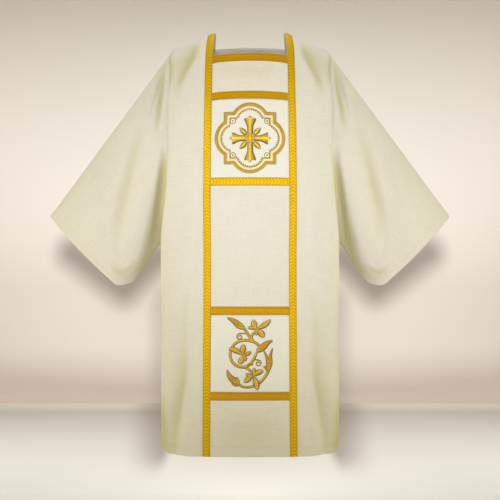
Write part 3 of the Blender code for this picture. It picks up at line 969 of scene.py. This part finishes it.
def gold_braid(name, bright, deep, plait, contrast, lines=()):
    """Gold yarn with a painted highlight on the crests of the plait and painted shade in its furrows and
    grooves, darker towards its edges.
    """
    material, shader, wire = new_material(name, Specular_IOR_Level=0.08)
    braid = wire.node("ShaderNodeTexCoord", output="UV")
    u, v = axis(braid, "X"), axis(braid, "Y")
    edge = abs(u * 2.0 - 1.0)
    phase = v * (1.0 / plait) + edge * PLAIT_LEAN
    crest = abs(u.maths("SINE", phase * pi))
    border = edge.maths("GREATER_THAN", edge, EDGE_CORD)
    cord = abs(u.maths("SINE", (v * (1.0 / CORD_TWIST) + edge * 3.0) * pi))
    pattern = crest * (1.0 - border) + (cord * 0.35 + 0.35) * border
    # Painted shade: the colour darkens along each groove.
    for at in lines:
        away = abs(edge - at) * 9.0
        pattern = pattern * away.maths("MINIMUM", away, 1.0)
    yarn = abs(u.maths("SINE", (phase * 7.0 + u * 9.0) * pi))
    fleck = streaks(braid, (9.0, 320.0, 1.0), 2.0)
    tone = (pattern - 0.64) * contrast + yarn * 0.14 + (fleck - 0.5) * 1.1 + 0.5 - edge ** 3 * 0.34
    wire.feed(shader.inputs["Base Color"], tint(wire, tone, deep, bright))
    wire.feed(shader.inputs["Metallic"], pattern * 0.25 + 0.15)
    wire.feed(shader.inputs["Roughness"], 0.56 - crest * 0.14)
    bump(shader, pattern * 0.5 + yarn * 0.35, 0.0005, 0.6)
    return material


galloon_gold = gold_braid("galloon_gold", (0.92, 0.58, 0.008), (0.48, 0.24, 0.004), PLAIT, 0.62)


def galloon_walk():
    """Rows of the galloon from the front hem over the shoulder to the back hem."""
    fall = [height - LENGTH for height in reversed(HEM_ROWS)]
    fall += stations((fall[-1], BEND_START), 0.006)[1:]
    fall += stations((BEND_START, SHOULDER_ROWS[-1]), 0.003)[1:] + list(reversed(SHOULDER_ROWS[:-1]))
    walk = [(FRONT, height) for height in fall] + [(BACK, height) for height in reversed(fall[:-1])]
    places = [cloth_point(side, GALLOON_MIDDLE, height) for side, height in walk]
    reached = [0.0]
    for before, here in zip(places, places[1:]):
        reached.append(reached[-1] + (here - before).length)
    return walk, reached


def add_galloon(name, sign):
    walk, reached = galloon_walk()
    stops = (GALLOON_INNER + GALLOON_EDGE, GALLOON_MIDDLE, GALLOON_OUTER - GALLOON_EDGE)
    coarse = [[seat(side, sign * stop, height) for stop in stops] for side, height in walk]
    lengths = stations((0.0, reached[-1]), PLAIT / 6)
    rows = []
    cell = 0
    for length in lengths:
        while cell < len(reached) - 2 and reached[cell + 1] < length:
            cell += 1
        share = (length - reached[cell]) / (reached[cell + 1] - reached[cell])
        rows.append([
            Seat(low.place.lerp(high.place, share), low.outward.lerp(high.outward, share).normalized())
            for low, high in zip(coarse[cell], coarse[cell + 1])
        ])
    mesh = weave_braid(rows, lengths, braid_face)
    galloon = add_piece(f"{name}_braid", mesh, galloon_gold, "gold_braid", name)


add_galloon("galloon_left", -1)
add_galloon("galloon_right", 1)


# ------------------------------------------------------------------------------ crossbands
# Five shorter braids cross the front between the galloons, and one edges the neck at the back.
# They are a deeper gold than the galloons, but for the one at the waist. Grooves along them part
# them into four ribs, and their ends meet the galloons.
BAND_PLAIT = 0.0058
BAND_GROOVES = (0.0, 0.54)
BAND_GROOVE_DEPTH = 0.0004
BAND_STEP = 0.085
crossband_gold = gold_braid(
    "crossband_gold", (0.82, 0.455, 0.005), (0.42, 0.185, 0.003), BAND_PLAIT, 0.7, BAND_GROOVES
)
Crossband = namedtuple("Crossband", "name side top drop gold")
CROSSBANDS = (
    Crossband("crossband_neck", FRONT, NECK_FRONT, 0.0252, crossband_gold),
    Crossband("crossband_chest", FRONT, -0.1895, 0.025, crossband_gold),
    Crossband("crossband_waist", FRONT, -0.443, 0.0245, galloon_gold),
    Crossband("crossband_knee", FRONT, -0.819, 0.0255, crossband_gold),
    Crossband("crossband_shin", FRONT, -1.067, 0.0255, crossband_gold),
    Crossband("back_neck_band", BACK, NECK_BACK, 0.0235, crossband_gold),
)


def crossband_face(u, along):
    height = braid_face(u, along, BAND_PLAIT)
    for at in BAND_GROOVES:
        height -= BAND_GROOVE_DEPTH * bell(abs(u) - at, 0.07)
    return height


for band in CROSSBANDS:
    columns = stations((-GALLOON_INNER, GALLOON_INNER), BAND_STEP)
    reached = [0.0]
    rows = []
    for column in columns:
        stops = (band.top - band.drop * 0.98, band.top - band.drop / 2, band.top - band.drop * 0.02)
        rows.append([seat(band.side, column, height) for height in stops])
        if len(rows) > 1:
            reached.append(reached[-1] + (rows[-1][1].place - rows[-2][1].place).length)
    mesh = weave_braid(rows, reached, crossband_face)
    piece = add_piece(f"{band.name}_braid", mesh, band.gold, "gold_braid", band.name)
    deep = (rows[len(rows) // 2][0].place - rows[len(rows) // 2][-1].place).length


# ------------------------------------------------------------------------------ panels
# Two squares of smoother off-white cloth are laid between the bands, at the chest and above
# the hem, and the braid covers their raw edges. The embroidery draws them in a little.
PANEL_LIFT = 0.0003
PANEL_CLOTH = 0.0009
PANEL_WALL = 0.001
Panel = namedtuple("Panel", "name top low flat")
PANELS = (
    Panel("panel_upper", -0.2138, -0.443, (0.228, 0.23)),
    Panel("panel_lower", -0.8445, -1.067, (0.229, 0.223)),
)
# The last colour is the painted shade in the cloth's folds.
off_white = woven_cloth(
    "off_white_cloth", (0.88, 0.85, 0.815), (0.83, 0.79, 0.74), (0.7, 0.65, 0.5), 0.3, 0.2
)

for panel in PANELS:
    columns = stations((-GALLOON_INNER, GALLOON_INNER), 0.2)
    heights = stations((panel.low, panel.top), 0.0045)
    mesh, spots = lay_out(columns, heights, lambda column, height: cloth_point(FRONT, column, height))
    push_out(mesh, spots, lambda place, column, height: rumple(FRONT, place) + PANEL_LIFT + PANEL_WALL)
    name = f"{panel.name}_cloth"
    piece = add_piece(name, mesh, off_white, "off_white_cloth", panel.name, wall=PANEL_CLOTH)


# ------------------------------------------------------------------------------ medallion
# The medallion is a barbed quatrefoil of off-white cloth, worked on a frame and applied to the
# upper panel. Two satin-stitched borders go round it, an old gold one and a cream one, then a
# couched cord with beads between dark stitches, and a ringed stud in each inner corner.
LOBE_RADIUS = 0.0585
LOBE_OFFSET = 0.0445
SQUARE_HALF = 0.0765
LOBE_STEPS = 28
CORNER_STEPS = 3
MEDALLION_HEIGHT = -0.3285
PANEL_FACE = PANEL_LIFT + PANEL_WALL
SLENDER = 2.2
SATIN_SECTION = (
    (-1.0, 0.3), (-0.86, 0.66), (-0.5, 0.92), (0.0, 1.0), (0.5, 0.92), (0.86, 0.66), (1.0, 0.3),
)


def way_at(turn):
    return Vector((cos(turn), sin(turn)))


def left_of(way):
    return Vector((-way.y, way.x))


def quatrefoil(inset):
    """The medallion's outline, drawn in by an inset, from the middle of the right lobe."""
    radius, half = LOBE_RADIUS - inset, SQUARE_HALF - inset
    lean = acos((half - LOBE_OFFSET) / radius)
    points = []
    for quarter in range(4):
        facing = pi / 2 * quarter
        out, along = way_at(facing), left_of(way_at(facing))
        for step in range(LOBE_STEPS + 1):
            angle = lean * (2 * step / LOBE_STEPS - 1)
            points.append(out * (LOBE_OFFSET + radius * cos(angle)) + along * radius * sin(angle))
        end = out * half + along * radius * sin(lean)
        corner = out * half + along * half
        turned = along * half + out * radius * sin(lean)
        points += [end.lerp(corner, k / CORNER_STEPS) for k in range(1, CORNER_STEPS + 1)]
        points += [corner.lerp(turned, k / CORNER_STEPS) for k in range(1, CORNER_STEPS)]
    return points


def on_panel(height):
    """A function that seats a flat design, drawn round this height, on the panel's face."""
    def place(point, lift):
        level = height + point.y
        inner = eased(GALLOON_LINE, "across", level) - GALLOON / 2
        here = seat(FRONT, GALLOON_INNER * point.x / inner, level)
        return here.place + here.outward * (PANEL_FACE + lift)
    return place


def satin_strip(mesh, left, right, place, padding, base=0.0, closed=False):
    """A padded band of satin stitch between two lines, closed underneath."""
    section = SATIN_SECTION + ((1.0, 0.0), (-1.0, 0.0), SATIN_SECTION[0])
    if closed:
        left, right = left + left[:1], right + right[:1]
    reached = [0.0]
    for k in range(len(left) - 1):
        reached.append(reached[-1] + ((left[k + 1] + right[k + 1] - left[k] - right[k]) / 2).length)
    flat = {}
    for vert, (i, j) in add_grid(mesh, len(section) - 1, len(left) - 1).items():
        u, share = section[i]
        width = (right[j] - left[j]).length
        full = min(1.0, width / (SLENDER * padding))
        lift = base + padding * share * full if share else 0.0
        vert.co = place(left[j].lerp(right[j], u / 2 + 0.5), lift)
        flat[vert] = (u / 2 + 0.5, reached[j])
    lay_flat(mesh, flat)


def worked_piece(name, build, material, slot="gold_embroidery", *nodes):
    """Work threads or cloth with build(mesh), close them, and make them a piece."""
    mesh = bmesh.new()
    build(mesh)
    close_up(mesh, 0.00002)
    return add_piece(name, mesh, material, slot, *nodes)


THREAD = 0.0009


def satin_thread(name, bright, deep, edging, twist, metallic, middle_stripe=None, middle_stripe_half=0.3):
    """Satin stitch: fine threads side by side over padding, with streaks of painted sheen, a painted
    highlight along the middle, and darker at the edge.
    """
    material, shader, wire = new_material(name, Specular_IOR_Level=0.4)
    satin = wire.node("ShaderNodeTexCoord", output="UV")
    u, v = axis(satin, "X"), axis(satin, "Y")
    edge = abs(u * 2.0 - 1.0)
    thread = abs(u.maths("SINE", (v * (1.0 / THREAD) + edge * twist) * pi))
    # Painted sheen and highlight: streaks of lighter and darker colour along the threads, and colour lighter
    # along the middle of the padding.
    sheen = streaks(satin, (2.2, 420.0, 1.0), 2.0)
    tone = 0.3 + thread * 0.3 + (sheen - 0.5) * 1.3 + (1.0 - edge) * 0.34
    colour = tint(wire, tone, deep, bright)
    if middle_stripe:
        middle = mask(edge + (sheen - 0.5) * 0.5, middle_stripe_half + 0.14, middle_stripe_half - 0.1)
        colour = tint(wire, middle, colour, middle_stripe)
    line = mask(edge, 0.64, 0.9)
    wire.feed(shader.inputs["Base Color"], tint(wire, line, colour, edging))
    wire.feed(shader.inputs["Metallic"], (1.0 - line) * metallic)
    wire.feed(shader.inputs["Roughness"], 0.5 - thread * 0.12)
    bump(shader, thread * 0.6 + sheen * 0.4, 0.0004, 0.5)
    return material


medallion_place = on_panel(MEDALLION_HEIGHT)
old_gold = satin_thread(
    "old_gold_thread", (0.6, 0.385, 0.03), (0.36, 0.215, 0.012), (0.25, 0.15, 0.02), 1.0, 0.25
)
cream_gold = satin_thread(
    "cream_thread", (0.9, 0.74, 0.4), (0.8, 0.55, 0.22), (0.62, 0.4, 0.11), 2.0, 0.1,
    (0.93, 0.83, 0.6), 0.2,
)
pale_thread = satin_thread(
    "pale_thread", (0.95, 0.9, 0.74), (0.84, 0.72, 0.47), (0.55, 0.38, 0.12), 1.0, 0.05
)
dark_thread = satin_thread(
    "dark_thread", (0.32, 0.2, 0.025), (0.19, 0.115, 0.012), (0.15, 0.09, 0.012), 4.0, 0.6
)
GROUND_BASE = 0.0002
GROUND_WALL = 0.0008
GROUND_TOP = GROUND_BASE + GROUND_WALL


def medallion_ground(mesh):
    """The cloth disc: rings of the outline drawn in, with a fan in the middle."""
    insets = (0.0006, 0.0025, 0.008, 0.014, 0.02, 0.023)
    rings = [quatrefoil(inset) for inset in insets]
    rings += [[point * share for point in rings[-1]] for share in (0.82, 0.62, 0.42, 0.22, 0.0)]
    wide = len(rings[0])
    for vert, (i, j) in add_grid(mesh, wide, len(rings)).items():
        lift = GROUND_TOP if j else GROUND_BASE
        vert.co = medallion_place(rings[max(j - 1, 0)][i % wide], lift)
    lay_flat(mesh, {vert: (vert.co.x, vert.co.z) for vert in mesh.verts})


# A border's edges are insets from the medallion's outline, and a ring's are radii.
Border = namedtuple("Border", "outer inner padding base")
OUTER_BORDER = Border(0.0, 0.0084, 0.0017, 0.0004)
INNER_BORDER = Border(0.0087, 0.0179, 0.0014, GROUND_TOP)
CORD = Border(0.018, 0.0193, 0.0011, GROUND_TOP)
DARK_RING = Border(0.0088, 0.007, 0.0013, GROUND_TOP)
PALE_RING = Border(0.0069, 0.0024, 0.0012, GROUND_TOP)
Stud = namedtuple("Stud", "radius padding base")
RING_STUD = Stud(0.0022, 0.0018, GROUND_TOP)
BEAD = Stud(0.002, 0.0013, GROUND_TOP)


def satin_border(mesh, border):
    outer, inner = quatrefoil(border.outer), quatrefoil(border.inner)
    satin_strip(mesh, outer, inner, medallion_place, border.padding, border.base, closed=True)


def satin_ring(mesh, middle, ring, steps):
    ways = [way_at(2 * pi * k / steps) for k in range(steps)]
    outer, inner = ([middle + way * radius for way in ways] for radius in (ring.outer, ring.inner))
    satin_strip(mesh, outer, inner, medallion_place, ring.padding, ring.base, closed=True)


def round_stud(mesh, middle, stud, place):
    """A small dome of wrapped thread."""
    dome = bmesh.ops.create_icosphere(mesh, subdivisions=2, radius=1.0)["verts"]
    lay_flat(mesh, {vert: (vert.co.x * 0.3 + 0.5, vert.co.y * stud.radius) for vert in dome})
    for vert in dome:
        lift = stud.base + stud.padding * max(vert.co.z, -0.1)
        vert.co = place(middle + vert.co.xy * stud.radius, lift)


RING_AT = 0.05
RING_CLEARANCE = 0.0125
RING_STEPS = 28
CROSSING_STEPS = 36
CORNERS = [Vector((x * RING_AT, y * RING_AT)) for x in (-1, 1) for y in (-1, 1)]


def along_outline(inset, first, gap):
    """Places at even gaps along the outline, and the way inwards, clear of the inner corners."""
    points = quatrefoil(inset)
    points.append(points[0])
    places = []
    left_over = first
    for start, end in zip(points, points[1:]):
        way = end - start
        at = left_over
        while at < way.length:
            place = start.lerp(end, at / way.length)
            if min((place - corner).length for corner in CORNERS) > RING_CLEARANCE:
                places.append((place, left_of(way).normalized()))
            at += gap
        left_over = at - way.length
    return places


TOOTH_GAP = 0.007
TOOTH_INSET = 0.019
TOOTH_LENGTH = 0.0046
TOOTH_HALVES = (0.0021, 0.0007)
TOOTH_PADDING = 0.0008
BEAD_OUT = 0.0031


def dark_work(mesh):
    """The couched cord, the stitches between the beads and the rings round the corner studs."""
    satin_border(mesh, CORD)
    for place, inwards in along_outline(TOOTH_INSET, 0.0, TOOTH_GAP):
        ends = list(zip((place, place + inwards * TOOTH_LENGTH), TOOTH_HALVES))
        left = [end + left_of(inwards) * half for end, half in ends]
        right = [end - left_of(inwards) * half for end, half in ends]
        satin_strip(mesh, left, right, medallion_place, TOOTH_PADDING, GROUND_TOP)
    for corner in CORNERS:
        satin_ring(mesh, corner, DARK_RING, RING_STEPS)
        round_stud(mesh, corner, RING_STUD, medallion_place)


def bead_work(mesh):
    """The pale beads inside the cord, and the pale rings of the corner studs."""
    for place, inwards in along_outline(TOOTH_INSET, TOOTH_GAP / 2, TOOTH_GAP):
        round_stud(mesh, place + inwards * BEAD_OUT, BEAD, medallion_place)
    for corner in CORNERS:
        satin_ring(mesh, corner, PALE_RING, RING_STEPS)


ground = worked_piece("medallion_ground", medallion_ground, off_white, "off_white_cloth", "medallion")
on_medallion = [
    worked_piece("medallion_outer_border", lambda mesh: satin_border(mesh, OUTER_BORDER), old_gold),
    worked_piece("medallion_inner_border", lambda mesh: satin_border(mesh, INNER_BORDER), cream_gold),
    worked_piece("medallion_cord", dark_work, dark_thread),
    worked_piece("medallion_beads", bead_work, pale_thread),
]


# ------------------------------------------------------------------------------ cross
# A plain gold cross with spread ends stands in the medallion. Each arm is padded and worked in
# satin stitch, four leaves stand between the arms, and a ring of thread covers the crossing. A
# dark line of stitches goes round each part, set down and to the right as a painted shadow.
# Its middle stripe is a painted highlight along the ridge of each arm and leaf.
antique_gold = satin_thread(
    "antique_gold_thread", (0.7, 0.44, 0.026), (0.42, 0.23, 0.012), (0.2, 0.12, 0.012), 1.2, 0.3,
    (0.9, 0.65, 0.08), 0.16,
)
Work = namedtuple("Work", "thread line half padding base")
OUTLINE = 0.0015
# Painted shadow: the dark outline is set down and to the right of each work.
OUTLINE_SHIFT = Vector((0.0006, -0.0009))
OUTLINE_PADDING = 0.0004
OUTLINE_SINK = 0.0003
Arm = namedtuple("Arm", "facing length")
ARMS = (Arm(0.0, 0.052), Arm(pi / 2, 0.057), Arm(pi, 0.052), Arm(3 * pi / 2, 0.064))
ARM_HALF = 0.0072
ARM_SPREAD = 0.016
ARM_STEPS = 20
ARM_RISE = (0.0016, GROUND_TOP + 0.0004)
LEAF_REACH = (0.015, 0.043)
LEAF_HALF = 0.0062
LEAF_STEPS = 12
CROSS_LEAF_RISE = (0.0013, GROUND_TOP + 0.0003)
KNOB_OUT = 0.0036
KNOB = Stud(0.0046, 0.0022, GROUND_TOP)
CROSSING_RING = Border(0.0145, 0.0086, 0.0012, GROUND_TOP + 0.0016)
CROSSING_STUD = Stud(0.0058, 0.0024, GROUND_TOP + 0.0014)


def worked_line(mesh, line, half_width, padding, base, place):
    """Satin or stem stitch along a line. half_width says the width at a share of its length."""
    left, right = [], []
    for k, point in enumerate(line):
        before, after = line[max(k - 1, 0)], line[min(k + 1, len(line) - 1)]
        way = (after - before).normalized()
        over = left_of(way) * half_width(k / (len(line) - 1))
        left.append(point + over)
        right.append(point - over)
    satin_strip(mesh, left, right, place, padding, base)


def outline_and_shadow_work(works, place):
    """The dark stitches that show on all sides of each work, set down and to the right so that they show
    most below it as a painted shadow.
    """
    def build(mesh):
        for work in works:
            line = [point + OUTLINE_SHIFT for point in work.line]
            wider = lambda share, half=work.half: half(share) + OUTLINE
            base = max(work.base - OUTLINE_SINK, 0.0)
            worked_line(mesh, line, wider, OUTLINE_PADDING, base, place)
    return build


def thread_work(works, thread, place):
    def build(mesh):
        for work in works:
            if work.thread == thread:
                worked_line(mesh, work.line, work.half, work.padding, work.base, place)
    return build


def pointed(half, fullest):
    """Leaf shape: rounded at the base, widest at a share of its length, and drawn to a point."""
    power = log(0.5) / log(fullest)
    return lambda share: half * sin(pi * share ** power) ** 0.92 if 0 < share < 1 else 0.0


def cross_arm(share):
    return ARM_HALF + (ARM_SPREAD - ARM_HALF) * ramp(share, 0.45, 1.0) ** 1.5


def cross_works():
    works = []
    for arm in ARMS:
        out = way_at(arm.facing)
        line = [out * (arm.length * k / ARM_STEPS) for k in range(ARM_STEPS + 1)]
        works.append(Work("cross", line, cross_arm, *ARM_RISE))
        way = way_at(arm.facing + pi / 4)
        near, far = LEAF_REACH
        spine = [way * (near + (far - near) * k / LEAF_STEPS) for k in range(LEAF_STEPS + 1)]
        works.append(Work("cross", spine, pointed(LEAF_HALF, 0.45), *CROSS_LEAF_RISE))
    return works


def cross_studs(mesh):
    """The knob at the end of each arm, and the ring and the stud over the crossing."""
    for arm in ARMS:
        round_stud(mesh, way_at(arm.facing) * (arm.length + KNOB_OUT), KNOB, medallion_place)
    crossing = Vector((0.0, 0.0))
    satin_ring(mesh, crossing, CROSSING_RING, CROSSING_STEPS)
    round_stud(mesh, crossing, CROSSING_STUD, medallion_place)


works = cross_works()
on_medallion += [
    worked_piece("cross_outline_and_shadow", outline_and_shadow_work(works, medallion_place), dark_thread),
    worked_piece("cross_arms", thread_work(works, "cross", medallion_place), antique_gold),
    worked_piece("cross_studs", cross_studs, antique_gold),
]


# ------------------------------------------------------------------------------ vine
# A scroll of lily vine is embroidered straight on the lower panel: stems and tendrils in stem
# stitch, and buds, leaves and lily blossoms in padded satin stitch. A dark line of stitches goes
# round each of them, set down and to the right as a painted shadow.
VINE_HEIGHT = -0.955
vine_place = on_panel(VINE_HEIGHT)
stem_gold = satin_thread(
    "stem_thread", (0.74, 0.5, 0.05), (0.5, 0.3, 0.02), (0.25, 0.15, 0.012), 1.2, 0.3
)
bud_gold = satin_thread(
    "bud_thread", (0.74, 0.46, 0.035), (0.5, 0.26, 0.015), (0.21, 0.115, 0.012), 3.5, 0.3,
    (0.58, 0.245, 0.02), 0.42,
)
petal_gold = satin_thread(
    "petal_thread", (0.86, 0.6, 0.06), (0.54, 0.31, 0.02), (0.21, 0.12, 0.01), 3.0, 0.25,
    (0.62, 0.27, 0.06), 0.2,
)
MM = 0.001


def curve_through(points, steps):
    """A smooth line through a few points, given in millimetres."""
    ends = [points[0]] + list(points) + [points[-1]]
    line = []
    for k in range(1, len(ends) - 2):
        before, start, end, after = (Vector(ends[k + shift]) * MM for shift in (-1, 0, 1, 2))
        for step in range(steps):
            t = step / steps
            line.append(
                (start * 2 + (end - before) * t + (before * 2 - start * 5 + end * 4 - after) * t ** 2
                 + (start * 3 - before - end * 3 + after) * t ** 3) / 2
            )
    return line + [Vector(points[-1]) * MM]


def tapered(half, ends):
    """A line of even width that narrows over a share of its length at both ends."""
    return lambda share: half * min(1.0, (share / ends) ** 0.6, ((1 - share) / ends) ** 0.6)


Stem = namedtuple("Stem", "half points")
STEMS = (
    Stem(2.7, ((-18, 73), (-10, 62), (-3, 50), (4, 39), (10, 33))),
    Stem(2.5, ((17, 66), (7, 56), (4, 47), (7, 38), (14, 31))),
    Stem(2.8, (
        (30, 18), (22, 27), (10, 34), (-5, 38), (-23, 38), (-41, 31), (-54, 16), (-58, -3),
        (-53, -22), (-39, -35), (-21, -39), (-5, -34), (6, -23), (14, -8), (20, 5),
    )),
    Stem(2.3, ((-19, -39), (-8, -43), (1, -50), (8, -60))),
    Stem(2.7, ((54, -44), (49, -58), (41, -70), (31, -81), (21, -88))),
    Stem(2.5, ((14, -92), (2, -96), (-12, -97), (-25, -94), (-34, -88))),
)
Tendril = namedtuple("Tendril", "start middle radius first turns")
TENDRILS = (
    Tendril((-12, 58), (-30, 49), 10.0, 1.35, 1.3),
    Tendril((7, -16), (23, -28), 10.0, 1.8, -1.3),
)
Leaf = namedtuple("Leaf", "half points")
BUDS = (
    Leaf(7.6, ((-17, 72), (-34, 84), (-50, 96), (-67, 104))),
    Leaf(8.4, ((19, 6), (36, 18), (49, 30), (65, 38))),
    Leaf(8.0, ((-32, -89), (-46, -79), (-59, -66), (-67, -47))),
)
LEAVES = (
    Leaf(3.0, ((-8, -35), (-1, -31), (9, -31))),
    Leaf(2.6, ((-33, -90), (-43, -91), (-54, -86))),
    Leaf(4.0, ((54, -52), (52, -34), (49, -14), (40, 8))),
    Leaf(4.2, ((55, -48), (59, -26), (59, -6), (65, 16))),
    Leaf(3.2, ((54, -50), (55, -32), (54, -12))),
    Leaf(2.8, ((51, -50), (46, -41), (38, -37))),
)
Petal = namedtuple("Petal", "facing length half")
Blossom = namedtuple("Blossom", "middle petals")
BLOSSOMS = (
    Blossom((19, 71), (
        Petal(262, 18, 4.2), Petal(172, 26, 4.2), Petal(110, 29, 7.4),
        Petal(35, 48, 6.6), Petal(310, 32, 7.8),
    )),
    Blossom((-20, -5), (
        Petal(296, 18, 4.0), Petal(26, 25, 4.4), Petal(86, 32, 7.4),
        Petal(154, 46, 6.4), Petal(242, 28, 7.0),
    )),
    Blossom((9, -65), (
        Petal(162, 23, 4.0), Petal(86, 24, 4.4), Petal(28, 33, 6.6),
        Petal(216, 32, 6.8), Petal(286, 42, 7.0),
    )),
)
TENDRIL_HALF = 0.6
TENDRIL_STEPS = 12
TENDRIL_CLOSING = 0.78
SEPAL_HALF = 2.8
SEPAL_TURN = 0.36
SEPAL_SHARE = 0.42
PETAL_BEND = 0.07
PETAL_SHARES = (0.0, 0.35, 0.68, 1.0)
VINE_STUD = Stud(0.0019, 0.0018, 0.003)

# How thickly each kind of work is padded, and how high over the panel it starts. Leaves and petals
# lie over one another, so each starts a little higher than the one before.
STEM_RISE = (0.0012, 0.0003)
TENDRIL_RISE = (0.0006, 0.0001)
BUD_RISE = (0.0017, 0.0008)
SEPAL_RISE = (0.0012, 0.0018)
LEAF_RISE = (0.0014, 0.0008)
PETAL_RISE = (0.0015, 0.0014)
OVERLAP = 0.0003


def vine_works():
    works = []
    for stem in STEMS:
        line = curve_through(stem.points, 6)
        works.append(Work("stem", line, tapered(stem.half * MM, 0.06), *STEM_RISE))
    for tendril in TENDRILS:
        points = [tendril.start]
        for k in range(TENDRIL_STEPS + 1):
            angle = tendril.first + 2 * pi * tendril.turns * k / TENDRIL_STEPS
            way = way_at(angle) * tendril.radius * (1.0 - TENDRIL_CLOSING * k / TENDRIL_STEPS)
            points.append(tuple(Vector(tendril.middle) + way))
        line = curve_through(points, 3)
        works.append(Work("stem", line, tapered(TENDRIL_HALF * MM, 0.05), *TENDRIL_RISE))
    for bud in BUDS:
        line = curve_through(bud.points, 7)
        works.append(Work("bud", line, pointed(bud.half * MM, 0.36), *BUD_RISE))
        for turn in (-SEPAL_TURN, SEPAL_TURN):
            reach = (line[-1] - line[0]) * SEPAL_SHARE
            reach.rotate(Matrix.Rotation(turn, 2))
            sepal = [line[0] + reach * (k / 8) for k in range(9)]
            works.append(Work("stem", sepal, pointed(SEPAL_HALF * MM, 0.4), *SEPAL_RISE))
    for k, leaf in enumerate(LEAVES):
        line = curve_through(leaf.points, 7)
        padding, base = LEAF_RISE
        works.append(Work("bud", line, pointed(leaf.half * MM, 0.34), padding, base + OVERLAP * (k % 3)))
    for blossom in BLOSSOMS:
        middle = Vector(blossom.middle)
        for k, petal in enumerate(blossom.petals):
            way = way_at(radians(petal.facing))
            over = left_of(way) * petal.length * PETAL_BEND * (-1) ** k
            points = [middle + way * petal.length * at + over * sin(pi * at) for at in PETAL_SHARES]
            line = curve_through([tuple(point) for point in points], 6)
            padding, base = PETAL_RISE
            works.append(Work("petal", line, pointed(petal.half * MM, 0.56), padding, base + OVERLAP * k))
    return works


def blossom_studs(mesh):
    for blossom in BLOSSOMS:
        round_stud(mesh, Vector(blossom.middle) * MM, VINE_STUD, vine_place)


works = vine_works()
on_lower_panel = [
    worked_piece("vine_outline_and_shadow", outline_and_shadow_work(works, vine_place), dark_thread),
    worked_piece("vine_stems", thread_work(works, "stem", vine_place), stem_gold),
    worked_piece("vine_leaves", thread_work(works, "bud", vine_place), bud_gold),
    worked_piece("vine_petals", thread_work(works, "petal", vine_place), petal_gold),
    worked_piece("vine_studs", blossom_studs, stem_gold),
]
